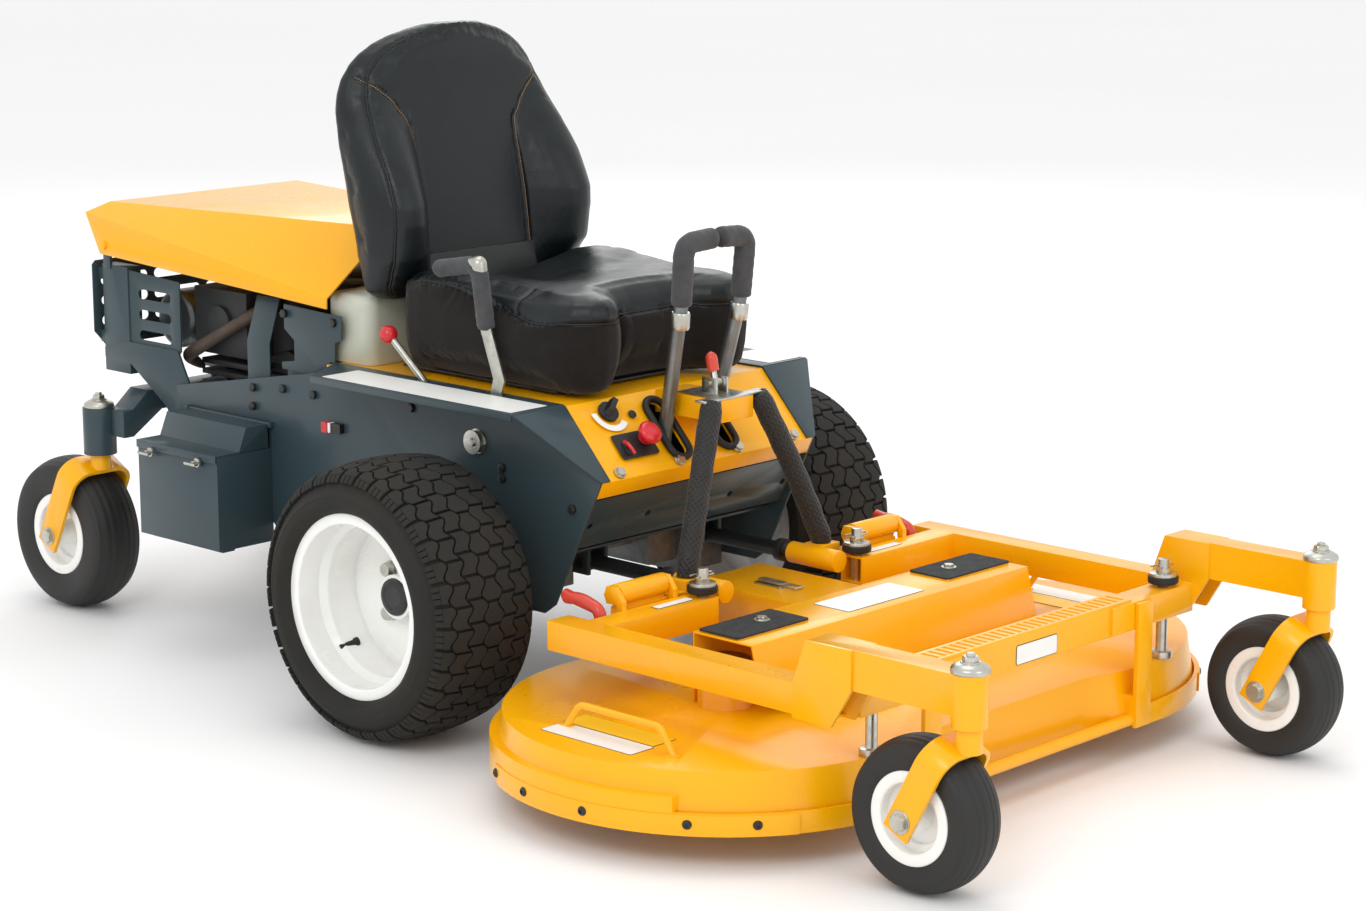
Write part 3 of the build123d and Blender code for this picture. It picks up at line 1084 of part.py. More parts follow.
for name, side in SIDES.items():
    with BuildPart() as blade:
        centre_x = side * LOBE_X
        rod((centre_x, LOBE_Y, 74), (centre_x, LOBE_Y, 212), SPINDLE_R)
        rod((centre_x, LOBE_Y, 212), (centre_x, LOBE_Y, 238), PULLEY_R)
        rod((centre_x, LOBE_Y, 66), (centre_x, LOBE_Y, 74), 18)
        block((centre_x - BLADE_R, centre_x + BLADE_R), (LOBE_Y - 31, LOBE_Y + 31), (74, 80))
        for end in (-1, 1):
            tip = centre_x + end * (BLADE_R - 60)
            side_y = LOBE_Y - end * 31
            block((tip - 58, tip + 58), (side_y - 3, side_y + 3), (80, 94))
    finish(blade, f"blade_{name}")
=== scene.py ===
"""Looks of the zero turn mower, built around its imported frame.

Sizes in the classes are millimetres in the row frame: +Z up, -Y the front, +X the driver's left.
"""

import json
import logging
import math
from dataclasses import dataclass, field
from enum import Enum
from functools import lru_cache
from typing import Callable, Iterable, Sequence

import bmesh
import bpy
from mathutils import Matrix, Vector
from mathutils.bvhtree import BVHTree
from mathutils.kdtree import KDTree

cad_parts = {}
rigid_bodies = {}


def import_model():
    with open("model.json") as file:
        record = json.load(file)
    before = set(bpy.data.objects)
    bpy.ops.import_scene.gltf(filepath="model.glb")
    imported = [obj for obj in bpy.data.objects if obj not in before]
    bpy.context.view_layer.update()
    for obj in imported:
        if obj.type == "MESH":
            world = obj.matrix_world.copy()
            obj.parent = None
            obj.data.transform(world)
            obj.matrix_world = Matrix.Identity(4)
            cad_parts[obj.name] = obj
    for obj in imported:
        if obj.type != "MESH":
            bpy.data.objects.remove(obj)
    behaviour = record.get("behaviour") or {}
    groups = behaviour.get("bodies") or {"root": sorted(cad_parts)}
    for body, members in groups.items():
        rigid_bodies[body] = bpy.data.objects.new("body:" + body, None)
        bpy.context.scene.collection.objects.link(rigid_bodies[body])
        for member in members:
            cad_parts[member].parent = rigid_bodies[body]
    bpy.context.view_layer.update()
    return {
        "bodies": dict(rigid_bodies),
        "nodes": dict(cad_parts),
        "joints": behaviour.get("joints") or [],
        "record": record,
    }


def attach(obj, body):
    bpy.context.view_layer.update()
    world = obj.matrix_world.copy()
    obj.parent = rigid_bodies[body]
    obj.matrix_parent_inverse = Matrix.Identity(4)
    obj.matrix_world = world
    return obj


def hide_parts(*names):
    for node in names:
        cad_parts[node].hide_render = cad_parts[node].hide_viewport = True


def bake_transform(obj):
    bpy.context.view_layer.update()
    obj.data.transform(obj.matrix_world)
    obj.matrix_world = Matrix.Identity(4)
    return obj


LOG = logging.getLogger("mower")
MM = 0.001
Point = Sequence[float]
SIDES: dict[str, int] = {"right": -1, "left": 1}


# ---------------------------------------------------------------- materials
class Pattern(Enum):
    """Fine relief that a finish shows."""

    PEEL = "peel"
    GRAIN = "grain"
    WEAVE = "weave"
    CAST = "cast"
    BRUSHED = "brushed"
    FOAM = "foam"
    BRICKS = "bricks"


def srgb(code: str) -> tuple[float, float, float, float]:
    """Turn an sRGB hex code into a linear colour.

    Args:
        code: six hex digits.

    Returns:
        Linear red, green, blue and an alpha of one.
    """
    parts = [int(code[i : i + 2], 16) / 255 for i in (0, 2, 4)]
    linear = [p / 12.92 if p <= 0.04045 else ((p + 0.055) / 1.055) ** 2.4 for p in parts]
    return (linear[0], linear[1], linear[2], 1.0)


def add(
    tree: bpy.types.NodeTree, kind: str, settings: dict | None = None, links: dict | None = None,
) -> bpy.types.Node:
    """Add a node with its settings and links.

    Args:
        tree: node tree that gets the node.
        kind: Blender's name of the node's type.
        settings: values of inputs, by name or number, or of the node's own properties.
        links: output sockets to link, by the input they go to.

    Returns:
        The new node.
    """
    made = tree.nodes.new(kind)
    for key, value in (settings or {}).items():
        if isinstance(key, str) and hasattr(made, key) and key not in made.inputs:
            setattr(made, key, value)
        else:
            made.inputs[key].default_value = value
    for key, output in (links or {}).items():
        tree.links.new(output, made.inputs[key])
    return made


@dataclass(frozen=True)
class Finish:
    """What one surface is made of.

    The second colour clouds the first over patches of cloud_mm, and the relief repeats every grain_mm.
    """

    name: str
    colour: str
    second: str
    roughness: float
    pattern: Pattern
    grain_mm: float
    depth_mm: float
    cloud_mm: float = 120.0
    metallic: float = 0.0
    coat: float = 0.0
    sheen: float = 0.0
    glow: float = 0.0
    spread: float = 0.08
    gloss: float = 0.5
    tilt: tuple[float, float, float] = (0.0, 0.0, 0.0)

    def relief(self, tree: bpy.types.NodeTree, place: bpy.types.NodeSocket) -> bpy.types.NodeSocket:
        """Height of the relief.

        Args:
            tree: the material's tree.
            place: coordinates in metres.

        Returns:
            A socket with heights from 0 to 1.
        """
        per_metre = 1000.0 / self.grain_mm
        if self.pattern is Pattern.GRAIN:
            cells = add(
                tree, "ShaderNodeTexVoronoi", {"feature": "DISTANCE_TO_EDGE", "Scale": per_metre},
                {"Vector": place},
            )
            folds = add(
                tree, "ShaderNodeTexNoise", {"Scale": per_metre * 0.22, "Detail": 5.0, "Distortion": 1.2},
                {"Vector": place},
            )
            rise = add(
                tree, "ShaderNodeMath", {"operation": "MULTIPLY", 1: 2.0, "use_clamp": True},
                {0: cells.outputs["Distance"]},
            )
            return add(
                tree, "ShaderNodeMath", {"operation": "MULTIPLY"},
                {0: rise.outputs[0], 1: folds.outputs["Fac"]},
            ).outputs[0]
        if self.pattern in (Pattern.WEAVE, Pattern.BRICKS):
            if self.pattern is Pattern.BRICKS:
                bricks = add(
                    tree,
                    "ShaderNodeTexBrick",
                    {
                        "Scale": per_metre, "Mortar Size": 0.09, "Mortar Smooth": 0.3, "Brick Width": 1.0,
                        "Row Height": 0.5,
                    },
                    {"Vector": place},
                )
                return add(
                    tree, "ShaderNodeMath", {"operation": "SUBTRACT", 0: 1.0}, {1: bricks.outputs["Fac"]},
                ).outputs[0]
            waves = []
            for turn in (0.0, math.pi / 2):
                turned = add(tree, "ShaderNodeMapping", {"Rotation": (0.0, turn, 0.0)}, {"Vector": place})
                wave = add(
                    tree, "ShaderNodeTexWave", {"Scale": per_metre / 6.3, "Distortion": 0.6, "Detail": 1.0},
                    {"Vector": turned.outputs[0]},
                )
                waves.append(wave.outputs["Fac"])
            return add(
                tree, "ShaderNodeMath", {"operation": "MULTIPLY"}, {0: waves[0], 1: waves[1]},
            ).outputs[0]
        if self.pattern is Pattern.BRUSHED:
            place = add(tree, "ShaderNodeMapping", {"Scale": (1.0, 1.0, 0.06)}, {"Vector": place}).outputs[0]
        detail = {Pattern.PEEL: 1.0, Pattern.CAST: 6.0, Pattern.FOAM: 8.0}.get(self.pattern, 2.0)
        return add(
            tree, "ShaderNodeTexNoise", {"Scale": per_metre, "Detail": detail}, {"Vector": place},
        ).outputs["Fac"]

    @lru_cache(maxsize=None)
    def material(self) -> bpy.types.Material:
        """Build the material, once."""
        made = bpy.data.materials.new(self.name)
        made.use_nodes = True
        tree = made.node_tree
        shader = tree.nodes["Principled BSDF"]
        shader.inputs["Metallic"].default_value = self.metallic
        shader.inputs["Coat Weight"].default_value = self.coat
        shader.inputs["Coat Roughness"].default_value = 0.12
        shader.inputs["Specular IOR Level"].default_value = self.gloss
        shader.inputs["Sheen Weight"].default_value = self.sheen
        shader.inputs["Subsurface Weight"].default_value = self.glow
        shader.inputs["Subsurface Radius"].default_value = (0.02, 0.018, 0.015)
        coords = add(tree, "ShaderNodeTexCoord")
        place = add(
            tree, "ShaderNodeMapping", {"Rotation": self.tilt}, {"Vector": coords.outputs["Object"]},
        ).outputs[0]
        clouds = add(
            tree, "ShaderNodeTexNoise", {"Scale": 1000.0 / self.cloud_mm, "Detail": 4.0, "Roughness": 0.62},
            {"Vector": place},
        )
        ramp = add(
            tree, "ShaderNodeMapRange", {"From Min": 0.35, "From Max": 0.7}, {"Value": clouds.outputs["Fac"]},
        )
        mixed = add(tree, "ShaderNodeMix", {"data_type": "RGBA"}, {0: ramp.outputs[0]})
        mixed.inputs[6].default_value = srgb(self.colour)
        mixed.inputs[7].default_value = srgb(self.second)
        tree.links.new(mixed.outputs[2], shader.inputs["Base Color"])
        rough = add(
            tree,
            "ShaderNodeMapRange",
            {
                "From Min": 0.3, "From Max": 0.7, "To Min": max(0.03, self.roughness - self.spread),
                "To Max": min(1.0, self.roughness + self.spread),
            },
            {"Value": clouds.outputs["Fac"]},
        )
        tree.links.new(rough.outputs[0], shader.inputs["Roughness"])
        bump = add(
            tree,
            "ShaderNodeBump",
            {"Strength": 1.0, "Distance": self.depth_mm * MM},
            {"Height": self.relief(tree, place)},
        )
        tree.links.new(bump.outputs[0], shader.inputs["Normal"])
        return made


# Baked powder coat on steel: a hard gloss with faint orange peel, a shade deeper where it pools.
YELLOW = Finish(
    "yellow_enamel", "FAB200", "F7AE00", 0.30, Pattern.PEEL, 2.2, 0.03, cloud_mm=260, coat=0.2, gloss=0.35,
)
# The same coat in blue-grey, with a flatter gloss.
GREY = Finish(
    "blue_grey_enamel", "34444A", "314147", 0.36, Pattern.PEEL, 2.2, 0.035, cloud_mm=260, coat=0.15,
    gloss=0.35,
)
BLACK = Finish("black_enamel", "17191A", "1E2021", 0.42, Pattern.PEEL, 2.0, 0.03, coat=0.1)
WHITE = Finish("white_enamel", "F6F6F3", "EFEFEA", 0.24, Pattern.PEEL, 2.4, 0.03, coat=0.4)
# Clear zinc plate: a soft grey metal with faint streaks.
ZINC = Finish("zinc_plate", "C9C9C2", "B3B2A6", 0.33, Pattern.BRUSHED, 0.8, 0.01, cloud_mm=18, metallic=1.0)
STEEL_TUBE = Finish(
    "dull_steel", "85898A", "6F7474", 0.38, Pattern.BRUSHED, 1.2, 0.012, cloud_mm=60, metallic=0.9,
)
ALLOY = Finish("cast_alloy", "8C8E8E", "77797A", 0.5, Pattern.CAST, 1.6, 0.12, cloud_mm=30, metallic=0.8)
ENGINE = Finish("black_cast_iron", "1D1F20", "292B2B", 0.55, Pattern.CAST, 2.0, 0.15, cloud_mm=40)
# Turf tyre rubber: matt, with dry dust in patches.
TYRE = Finish(
    "turf_tyre_rubber", "222221", "2E2B25", 0.8, Pattern.FOAM, 1.5, 0.12, cloud_mm=90, spread=0.06, gloss=0.3,
)
SMOOTH_TYRE = Finish("smooth_tyre_rubber", "1B1B1B", "24221F", 0.6, Pattern.FOAM, 1.2, 0.06, cloud_mm=70)
GRIP_FOAM = Finish("grip_foam", "46474A", "3B3D3F", 0.92, Pattern.FOAM, 0.9, 0.16, cloud_mm=25, sheen=0.15)
HOSE = Finish("hose_rubber", "4A3A2D", "3A2E26", 0.6, Pattern.CAST, 1.4, 0.06, cloud_mm=30)
# Coated upholstery: a pebbled grain about 2 mm across under a satin sheen.
LEATHER = Finish(
    "black_upholstery", "0D1416", "12191B", 0.34, Pattern.GRAIN, 2.6, 0.3, cloud_mm=60, gloss=0.38,
)
SKIRT = Finish(
    "knitted_skirt_cloth", "1A1716", "221F1D", 0.92, Pattern.WEAVE, 2.2, 0.25, cloud_mm=35, sheen=0.12,
    gloss=0.15,
)
# Woven nylon sleeve, drawn at 3 mm so that the weave shows.
SLEEVE = Finish(
    "woven_nylon_sleeve", "0C0D0D", "1B1D1D", 0.62, Pattern.WEAVE, 3.4, 0.9, cloud_mm=12, sheen=0.2,
    tilt=(0.5, 0.3, 0.6),
)
THREAD = Finish("tan_thread", "A98056", "8F6A45", 0.8, Pattern.FOAM, 0.6, 0.05)
# Blow-moulded polyethylene: milky, slightly translucent.
TANK = Finish("milky_polyethylene", "C9CDBE", "BFC4B4", 0.42, Pattern.PEEL, 3.0, 0.08, glow=0.25)
PLASTIC = Finish("black_moulded_plastic", "1A1B1C", "202122", 0.45, Pattern.CAST, 1.2, 0.04)
RUBBER = Finish("black_moulded_rubber", "151616", "1B1C1C", 0.6, Pattern.CAST, 1.4, 0.05)
RED = Finish("red_moulded_plastic", "D31F2B", "C81B27", 0.28, Pattern.PEEL, 2.0, 0.02, coat=0.3)
RED_GRIP = Finish("red_dipped_vinyl", "D2432F", "C73C2A", 0.33, Pattern.PEEL, 2.0, 0.03, coat=0.2)
# Grit mat moulded in rows of small bricks.
MAT = Finish("non_slip_mat", "303233", "27292A", 0.85, Pattern.BRICKS, 9.0, 0.9, cloud_mm=20)
VINYL = Finish("white_vinyl", "F2F2EE", "EDEDE8", 0.4, Pattern.PEEL, 4.0, 0.01)
VINYL_YELLOW = Finish("yellow_vinyl", "F5C51C", "F0BE16", 0.4, Pattern.PEEL, 4.0, 0.01)
VINYL_DARK = Finish("black_vinyl", "1B1B1B", "222222", 0.45, Pattern.PEEL, 4.0, 0.01)
# Painted studio floor: matt and almost even.
PALE_FLOOR = Finish("pale_floor", "F4F4F4", "F6F6F6", 0.8, Pattern.PEEL, 40.0, 0.01, cloud_mm=4000)


# ---------------------------------------------------------------- mesh tools
def put(name: str, mesh: bpy.types.Mesh) -> bpy.types.Object:
    """Link a mesh into the scene as an object at the origin."""
    made = bpy.data.objects.new(name, mesh)
    bpy.context.scene.collection.objects.link(made)
    return made


def smooth(mesh: bpy.types.Mesh, angle: float = 35.0) -> None:
    """Shade a mesh smoothly, with its edges over angle degrees left sharp."""
    for face in mesh.polygons:
        face.use_smooth = True
    mesh.set_sharp_from_angle(angle=math.radians(angle))


def from_faces(
    name: str, points: Iterable[Point], faces: Iterable[Sequence[int]], angle: float = 35.0,
) -> bpy.types.Object:
    """Make a closed object from points in millimetres.

    Args:
        name: the object's name.
        points: the vertices.
        faces: loops of vertex numbers, in either turning sense.
        angle: edges sharper than this many degrees stay sharp.

    Returns:
        The object, with its faces pointing outwards.
    """
    mesh = bpy.data.meshes.new(name)
    mesh.from_pydata([Vector(p) * MM for p in points], [], [list(f) for f in faces])
    work = bmesh.new()
    work.from_mesh(mesh)
    bmesh.ops.remove_doubles(work, verts=work.verts, dist=1e-6)
    bmesh.ops.recalc_face_normals(work, faces=work.faces)
    work.to_mesh(mesh)
    work.free()
    smooth(mesh, angle)
    return put(name, mesh)


def loft(
    name: str, rings: Sequence[Sequence[Point]], closed: bool = False, angle: float = 35.0,
) -> bpy.types.Object:
    """Skin a row of rings with equal numbers of points.

    Args:
        name: the object's name.
        rings: the rings, in order.
        closed: True joins the last ring to the first, otherwise both ends are capped.
        angle: edges sharper than this many degrees stay sharp.

    Returns:
        The skinned object.
    """
    count = len(rings[0])
    points = [p for ring in rings for p in ring]
    rows = len(rings)
    faces = []
    for row in range(rows if closed else rows - 1):
        following = (row + 1) % rows
        for i in range(count):
            j = (i + 1) % count
            faces.append((row * count + i, row * count + j, following * count + j, following * count + i))
    if not closed:
        faces.append(tuple(range(count)))
        faces.append(tuple((rows - 1) * count + i for i in range(count)))
    return from_faces(name, points, faces, angle)


def lathe(
    name: str, profile: Sequence[tuple[float, float]], centre: Point, axis: Point = (1, 0, 0),
    steps: int = 72, angle: float = 35.0,
) -> bpy.types.Object:
    """Turn a closed profile about an axis.

    Args:
        name: the object's name.
        profile: distances along the axis and radii, round a closed loop.
        centre: the zero of the profile on the axis.
        axis: direction of the axis.
        steps: facets in a turn.
        angle: edges sharper than this many degrees stay sharp.

    Returns:
        The turned object.
    """
    along = Vector(axis).normalized()
    first = Vector((0, 1, 0)) if abs(along.y) < 0.5 else Vector((1, 0, 0))
    across = (first - along * first.dot(along)).normalized()
    third = along.cross(across)
    rings = []
    for step in range(steps):
        turn = 2 * math.pi * step / steps
        way = across * math.cos(turn) + third * math.sin(turn)
        rings.append([Vector(centre) + along * a + way * r for a, r in profile])
    return loft(name, rings, closed=True, angle=angle)


def hexagon(
    name: str, centre: Point, axis: Point, radius: float, height: float, washer: float = 0.0,
) -> bpy.types.Object:
    """Hexagon head with chamfered corners, on a washer if one is given.

    Args:
        name: the object's name.
        centre: middle of the head's foot.
        axis: direction the head stands in.
        radius: to its corners.
        height: of the head.
        washer: radius of a washer under it, or zero.

    Returns:
        The head.
    """
    along = Vector(axis).normalized()
    first = Vector((0, 0, 1)) if abs(along.z) < 0.5 else Vector((1, 0, 0))
    across = (first - along * first.dot(along)).normalized()
    third = along.cross(across)
    rings = []
    for level, share in ((0.0, 1.0), (height * 0.82, 1.0), (height, 0.87)):
        ring = []
        for step in range(24):
            turn = math.pi * step / 12
            flat = math.cos(math.pi / 6) / math.cos((turn % (math.pi / 3)) - math.pi / 6)
            reach = radius * (flat if share == 1.0 else min(flat, share))
            spoke = across * math.cos(turn) + third * math.sin(turn)
            ring.append(Vector(centre) + along * level + spoke * reach)
        rings.append(ring)
    head = loft(name, rings, angle=25)
    if not washer:
        return head
    disc = lathe(
        name + "_washer", [(-0.5, 0), (-0.5, washer), (1.6, washer), (2.0, washer - 0.5), (2.0, 0)], centre,
        axis, 32,
    )
    return joined(name, [head, disc])


def sweep(
    name: str, path: Sequence[Point], radius: Callable[[float, float], float], sides: int = 24,
    angle: float = 60.0,
) -> bpy.types.Object:
    """Skin a tube of changing radius along a path.

    Args:
        name: the object's name.
        path: points in millimetres.
        radius: the radius at a share of the path and an angle round it.
        sides: facets round the tube.
        angle: edges sharper than this many degrees stay sharp.

    Returns:
        The tube with closed ends.
    """
    line = [Vector(p) for p in path]
    lengths = [0.0]
    for a, b in zip(line, line[1:]):
        lengths.append(lengths[-1] + (b - a).length)
    rings = []
    side = None
    for i, p in enumerate(line):
        ahead = (line[min(i + 1, len(line) - 1)] - line[max(i - 1, 0)]).normalized()
        if side is None:
            side = ahead.orthogonal().normalized()
        side = (side - ahead * side.dot(ahead)).normalized()
        other = ahead.cross(side)
        ring = []
        for step in range(sides):
            turn = 2 * math.pi * step / sides
            spoke = side * math.cos(turn) + other * math.sin(turn)
            ring.append(p + spoke * radius(lengths[i] / lengths[-1], turn))
        rings.append(ring)
    return loft(name, rings, angle=angle)


def eased(points: Sequence[Point], corner: float, step: float) -> list[Vector]:
    """Even points along straight runs joined by round corners.

    Args:
        points: the corners in millimetres.
        corner: how far before and after a corner its rounding starts.
        step: spacing of the points.

    Returns:
        The points.
    """
    line = [Vector(p) for p in points]
    rough = [line[0]]
    for before, here, after in zip(line, line[1:], line[2:]):
        start = here + (before - here).normalized() * corner
        end = here + (after - here).normalized() * corner
        for i in range(13):
            t = i / 12
            rough.append(start * (1 - t) ** 2 + here * 2 * t * (1 - t) + end * t**2)
    rough.append(line[-1])
    result = [rough[0]]
    for a, b in zip(rough, rough[1:]):
        parts = max(1, round((b - a).length / step))
        result.extend(a.lerp(b, k / parts) for k in range(1, parts + 1))
    return result


def rounded(width: float, height: float, radius: float, steps: int = 4) -> list[tuple[float, float]]:
    """Outline of a rectangle with round corners, about the origin."""
    corners = []
    for quarter, (sx, sy) in enumerate(((1, 1), (-1, 1), (-1, -1), (1, -1))):
        for step in range(steps + 1):
            turn = math.pi / 2 * (quarter + step / steps)
            middle_x = sx * (width / 2 - radius)
            middle_y = sy * (height / 2 - radius)
            corners.append((middle_x + radius * math.cos(turn), middle_y + radius * math.sin(turn)))
    return corners


def slab(
    name: str, outline: Sequence[tuple[float, float]], centre: Point, across: Point, up: Point, thick: float,
    angle: float = 35.0,
) -> bpy.types.Object:
    """Extrude a flat outline.

    Args:
        name: the object's name.
        outline: corners in the plane of across and up.
        centre: where the outline's origin lies.
        across: direction of the outline's first coordinate.
        up: direction of the outline's second coordinate.
        thick: how far it rises along across x up, from the centre.
        angle: edges sharper than this many degrees stay sharp.

    Returns:
        The slab.
    """
    a, u = Vector(across).normalized(), Vector(up).normalized()
    n = a.cross(u)
    rings = [[Vector(centre) + a * x + u * y + n * level for x, y in outline] for level in (0.0, thick)]
    return loft(name, rings, angle=angle)


def bar(
    name: str, path: Sequence[Point], radius: float, closed: bool = False, smooth_line: bool = False,
    sides: int = 5,
) -> bpy.types.Object:
    """Round bar along a path.

    Args:
        name: the object's name.
        path: points in millimetres.
        radius: the bar's radius.
        closed: True for a loop.
        smooth_line: True runs a smooth line near the points, False straight runs.
        sides: quarter-turn resolution of the bar.

    Returns:
        The bar as a mesh.
    """
    curve = bpy.data.curves.new(name + "_line", "CURVE")
    curve.dimensions = "3D"
    curve.bevel_depth = radius * MM
    curve.bevel_resolution = sides
    curve.use_fill_caps = True
    curve.resolution_u = 8
    spline = curve.splines.new("NURBS" if smooth_line else "POLY")
    spline.points.add(len(path) - 1)
    for knot, p in zip(spline.points, path):
        knot.co = (*(Vector(p) * MM), 1.0)
    spline.use_cyclic_u = closed
    if smooth_line:
        spline.order_u = 3
        spline.use_endpoint_u = not closed
    holder = bpy.data.objects.new(name + "_holder", curve)
    bpy.context.scene.collection.objects.link(holder)
    mesh = baked(holder, name)
    bpy.data.objects.remove(holder)
    bpy.data.curves.remove(curve)
    tidy_shell(mesh)
    smooth(mesh, 50)
    return put(name, mesh)


def baked(source: bpy.types.Object, name: str) -> bpy.types.Mesh:
    """Plain mesh of an object with its modifiers applied."""
    bpy.context.view_layer.update()
    graph = bpy.context.evaluated_depsgraph_get()
    mesh = bpy.data.meshes.new_from_object(source.evaluated_get(graph), depsgraph=graph)
    mesh.name = name
    return mesh


def tidy_shell(mesh: bpy.types.Mesh) -> None:
    """Merge a shell's doubles and turn its faces outwards."""
    work = bmesh.new()
    work.from_mesh(mesh)
    bmesh.ops.remove_doubles(work, verts=work.verts, dist=1e-6)
    bmesh.ops.recalc_face_normals(work, faces=work.faces)
    work.to_mesh(mesh)
    work.free()


def joined(name: str, parts: Sequence[bpy.types.Object]) -> bpy.types.Object:
    """Join objects into one mesh, keeping their materials."""
    work = bmesh.new()
    finishes: list[bpy.types.Material] = []
    for part in parts:
        before = len(work.faces)
        work.from_mesh(part.data)
        work.faces.ensure_lookup_table()
        for face in work.faces[before:]:
            material = part.data.materials[face.material_index] if part.data.materials else None
            if material is not None and material not in finishes:
                finishes.append(material)
            face.material_index = finishes.index(material) if material is not None else 0
    mesh = bpy.data.meshes.new(name)
    work.to_mesh(mesh)
    work.free()
    for material in finishes:
        mesh.materials.append(material)
    for part in parts:
        bpy.data.objects.remove(part)
    return put(name, mesh)


def dress(
    piece: bpy.types.Object, finish: Finish, body: str | None = None,
    replaces: Sequence[str] = (),
) -> bpy.types.Object:
    """Give a piece its finish and its body.

    Args:
        piece: the finished object.
        finish: what it is made of, if it has no material yet.
        body: the CAD body it rides on.
        replaces: CAD nodes it stands for.

    Returns:
        The same piece.
    """
    if not piece.data.materials:
        piece.data.materials.append(finish.material())
    if body:
        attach(piece, body)
        LOG.info("%s rides on %s", piece.name, body)
    if replaces:
        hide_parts(*replaces)
    return piece


def softened(
    node: str, finish: Finish, body: str, width: float = 1.2, angle: float = 35.0,
) -> bpy.types.Object:
    """Copy of a CAD node with its edges rounded, which stands for the node.

    Args:
        node: the CAD node.
        finish: its finish.
        body: the body it rides on.
        width: how wide the rounded edges are, in millimetres.
        angle: edges sharper than this are rounded.

    Returns:
        The new piece.
    """
    source = bpy.data.objects[node]
    work = bmesh.new()
    work.from_mesh(source.data)
    bmesh.ops.remove_doubles(work, verts=work.verts, dist=2e-6)
    bmesh.ops.dissolve_limit(work, angle_limit=math.radians(0.6), verts=work.verts, edges=work.edges)
    mesh = bpy.data.meshes.new(node + "_finished")
    work.to_mesh(mesh)
    work.free()
    holder = put(node + "_finished", mesh)
    rounding = holder.modifiers.new("rounding", "BEVEL")
    rounding.width = width * MM
    rounding.segments = 2
    rounding.limit_method = "ANGLE"
    rounding.angle_limit = math.radians(angle)
    rounding.use_clamp_overlap = True
    final = baked(holder, node + "_finished")
    bpy.data.objects.remove(holder)
    final.materials.clear()
    smooth(final, angle + 5)
    piece = put(node + "_finished", final)
    return dress(piece, finish, body, (node,))


# ---------------------------------------------------------------- node trees
class Repeat(Enum):
    """What a repeated piece follows."""

    WHEEL = "round_axle"
    PATH = "along_path"


@lru_cache(maxsize=None)
def repeat_tree(kind: Repeat) -> bpy.types.NodeTree:
    """Build the tree that repeats a piece round an axle along X, or along a path.

    Args:
        kind: what the copies follow.

    Returns:
        A geometry node group with named inputs.
    """
    tree = bpy.data.node_groups.new(kind.value, "GeometryNodeTree")
    face = tree.interface
    face.new_socket("Geometry", in_out="OUTPUT", socket_type="NodeSocketGeometry")
    face.new_socket("Piece", in_out="INPUT", socket_type="NodeSocketObject")
    face.new_socket("Finish", in_out="INPUT", socket_type="NodeSocketMaterial")
    entry = None
    if kind is Repeat.WHEEL:
        face.new_socket("Count", in_out="INPUT", socket_type="NodeSocketInt")
        face.new_socket("Centre", in_out="INPUT", socket_type="NodeSocketVector")
        entry = add(tree, "NodeGroupInput")
        points = add(tree, "GeometryNodePoints", {}, {"Count": entry.outputs["Count"]}).outputs[0]
        share = add(
            tree, "ShaderNodeMath", {"operation": "DIVIDE"},
            {0: add(tree, "GeometryNodeInputIndex").outputs[0], 1: entry.outputs["Count"]},
        )
        turn = add(tree, "ShaderNodeMath", {"operation": "MULTIPLY", 1: 2 * math.pi}, {0: share.outputs[0]})
        spin = add(tree, "ShaderNodeCombineXYZ", {}, {"X": turn.outputs[0]}).outputs[0]
    else:
        face.new_socket("Path", in_out="INPUT", socket_type="NodeSocketObject")
        face.new_socket("Spacing", in_out="INPUT", socket_type="NodeSocketFloat")
        entry = add(tree, "NodeGroupInput")
        line = add(tree, "GeometryNodeObjectInfo", {}, {"Object": entry.outputs["Path"]}).outputs["Geometry"]
        points = add(
            tree, "GeometryNodeResampleCurve", {"mode": "LENGTH"},
            {"Curve": line, "Length": entry.outputs["Spacing"]},
        ).outputs[0]
        tangent = add(tree, "GeometryNodeInputTangent").outputs[0]
        spin = add(tree, "FunctionNodeAlignRotationToVector", {"axis": "X"}, {"Vector": tangent}).outputs[0]
    shape = add(tree, "GeometryNodeObjectInfo", {}, {"Object": entry.outputs["Piece"]}).outputs["Geometry"]
    copies = add(
        tree, "GeometryNodeInstanceOnPoints", {}, {"Points": points, "Instance": shape, "Rotation": spin},
    ).outputs[0]
    if kind is Repeat.WHEEL:
        copies = add(
            tree, "GeometryNodeTransform", {}, {"Geometry": copies, "Translation": entry.outputs["Centre"]},
        ).outputs[0]
    solid = add(tree, "GeometryNodeRealizeInstances", {}, {"Geometry": copies}).outputs[0]
    dressed = add(
        tree, "GeometryNodeSetMaterial", {}, {"Geometry": solid, "Material": entry.outputs["Finish"]},
    ).outputs[0]
    add(tree, "NodeGroupOutput", {}, {0: dressed})
    return tree


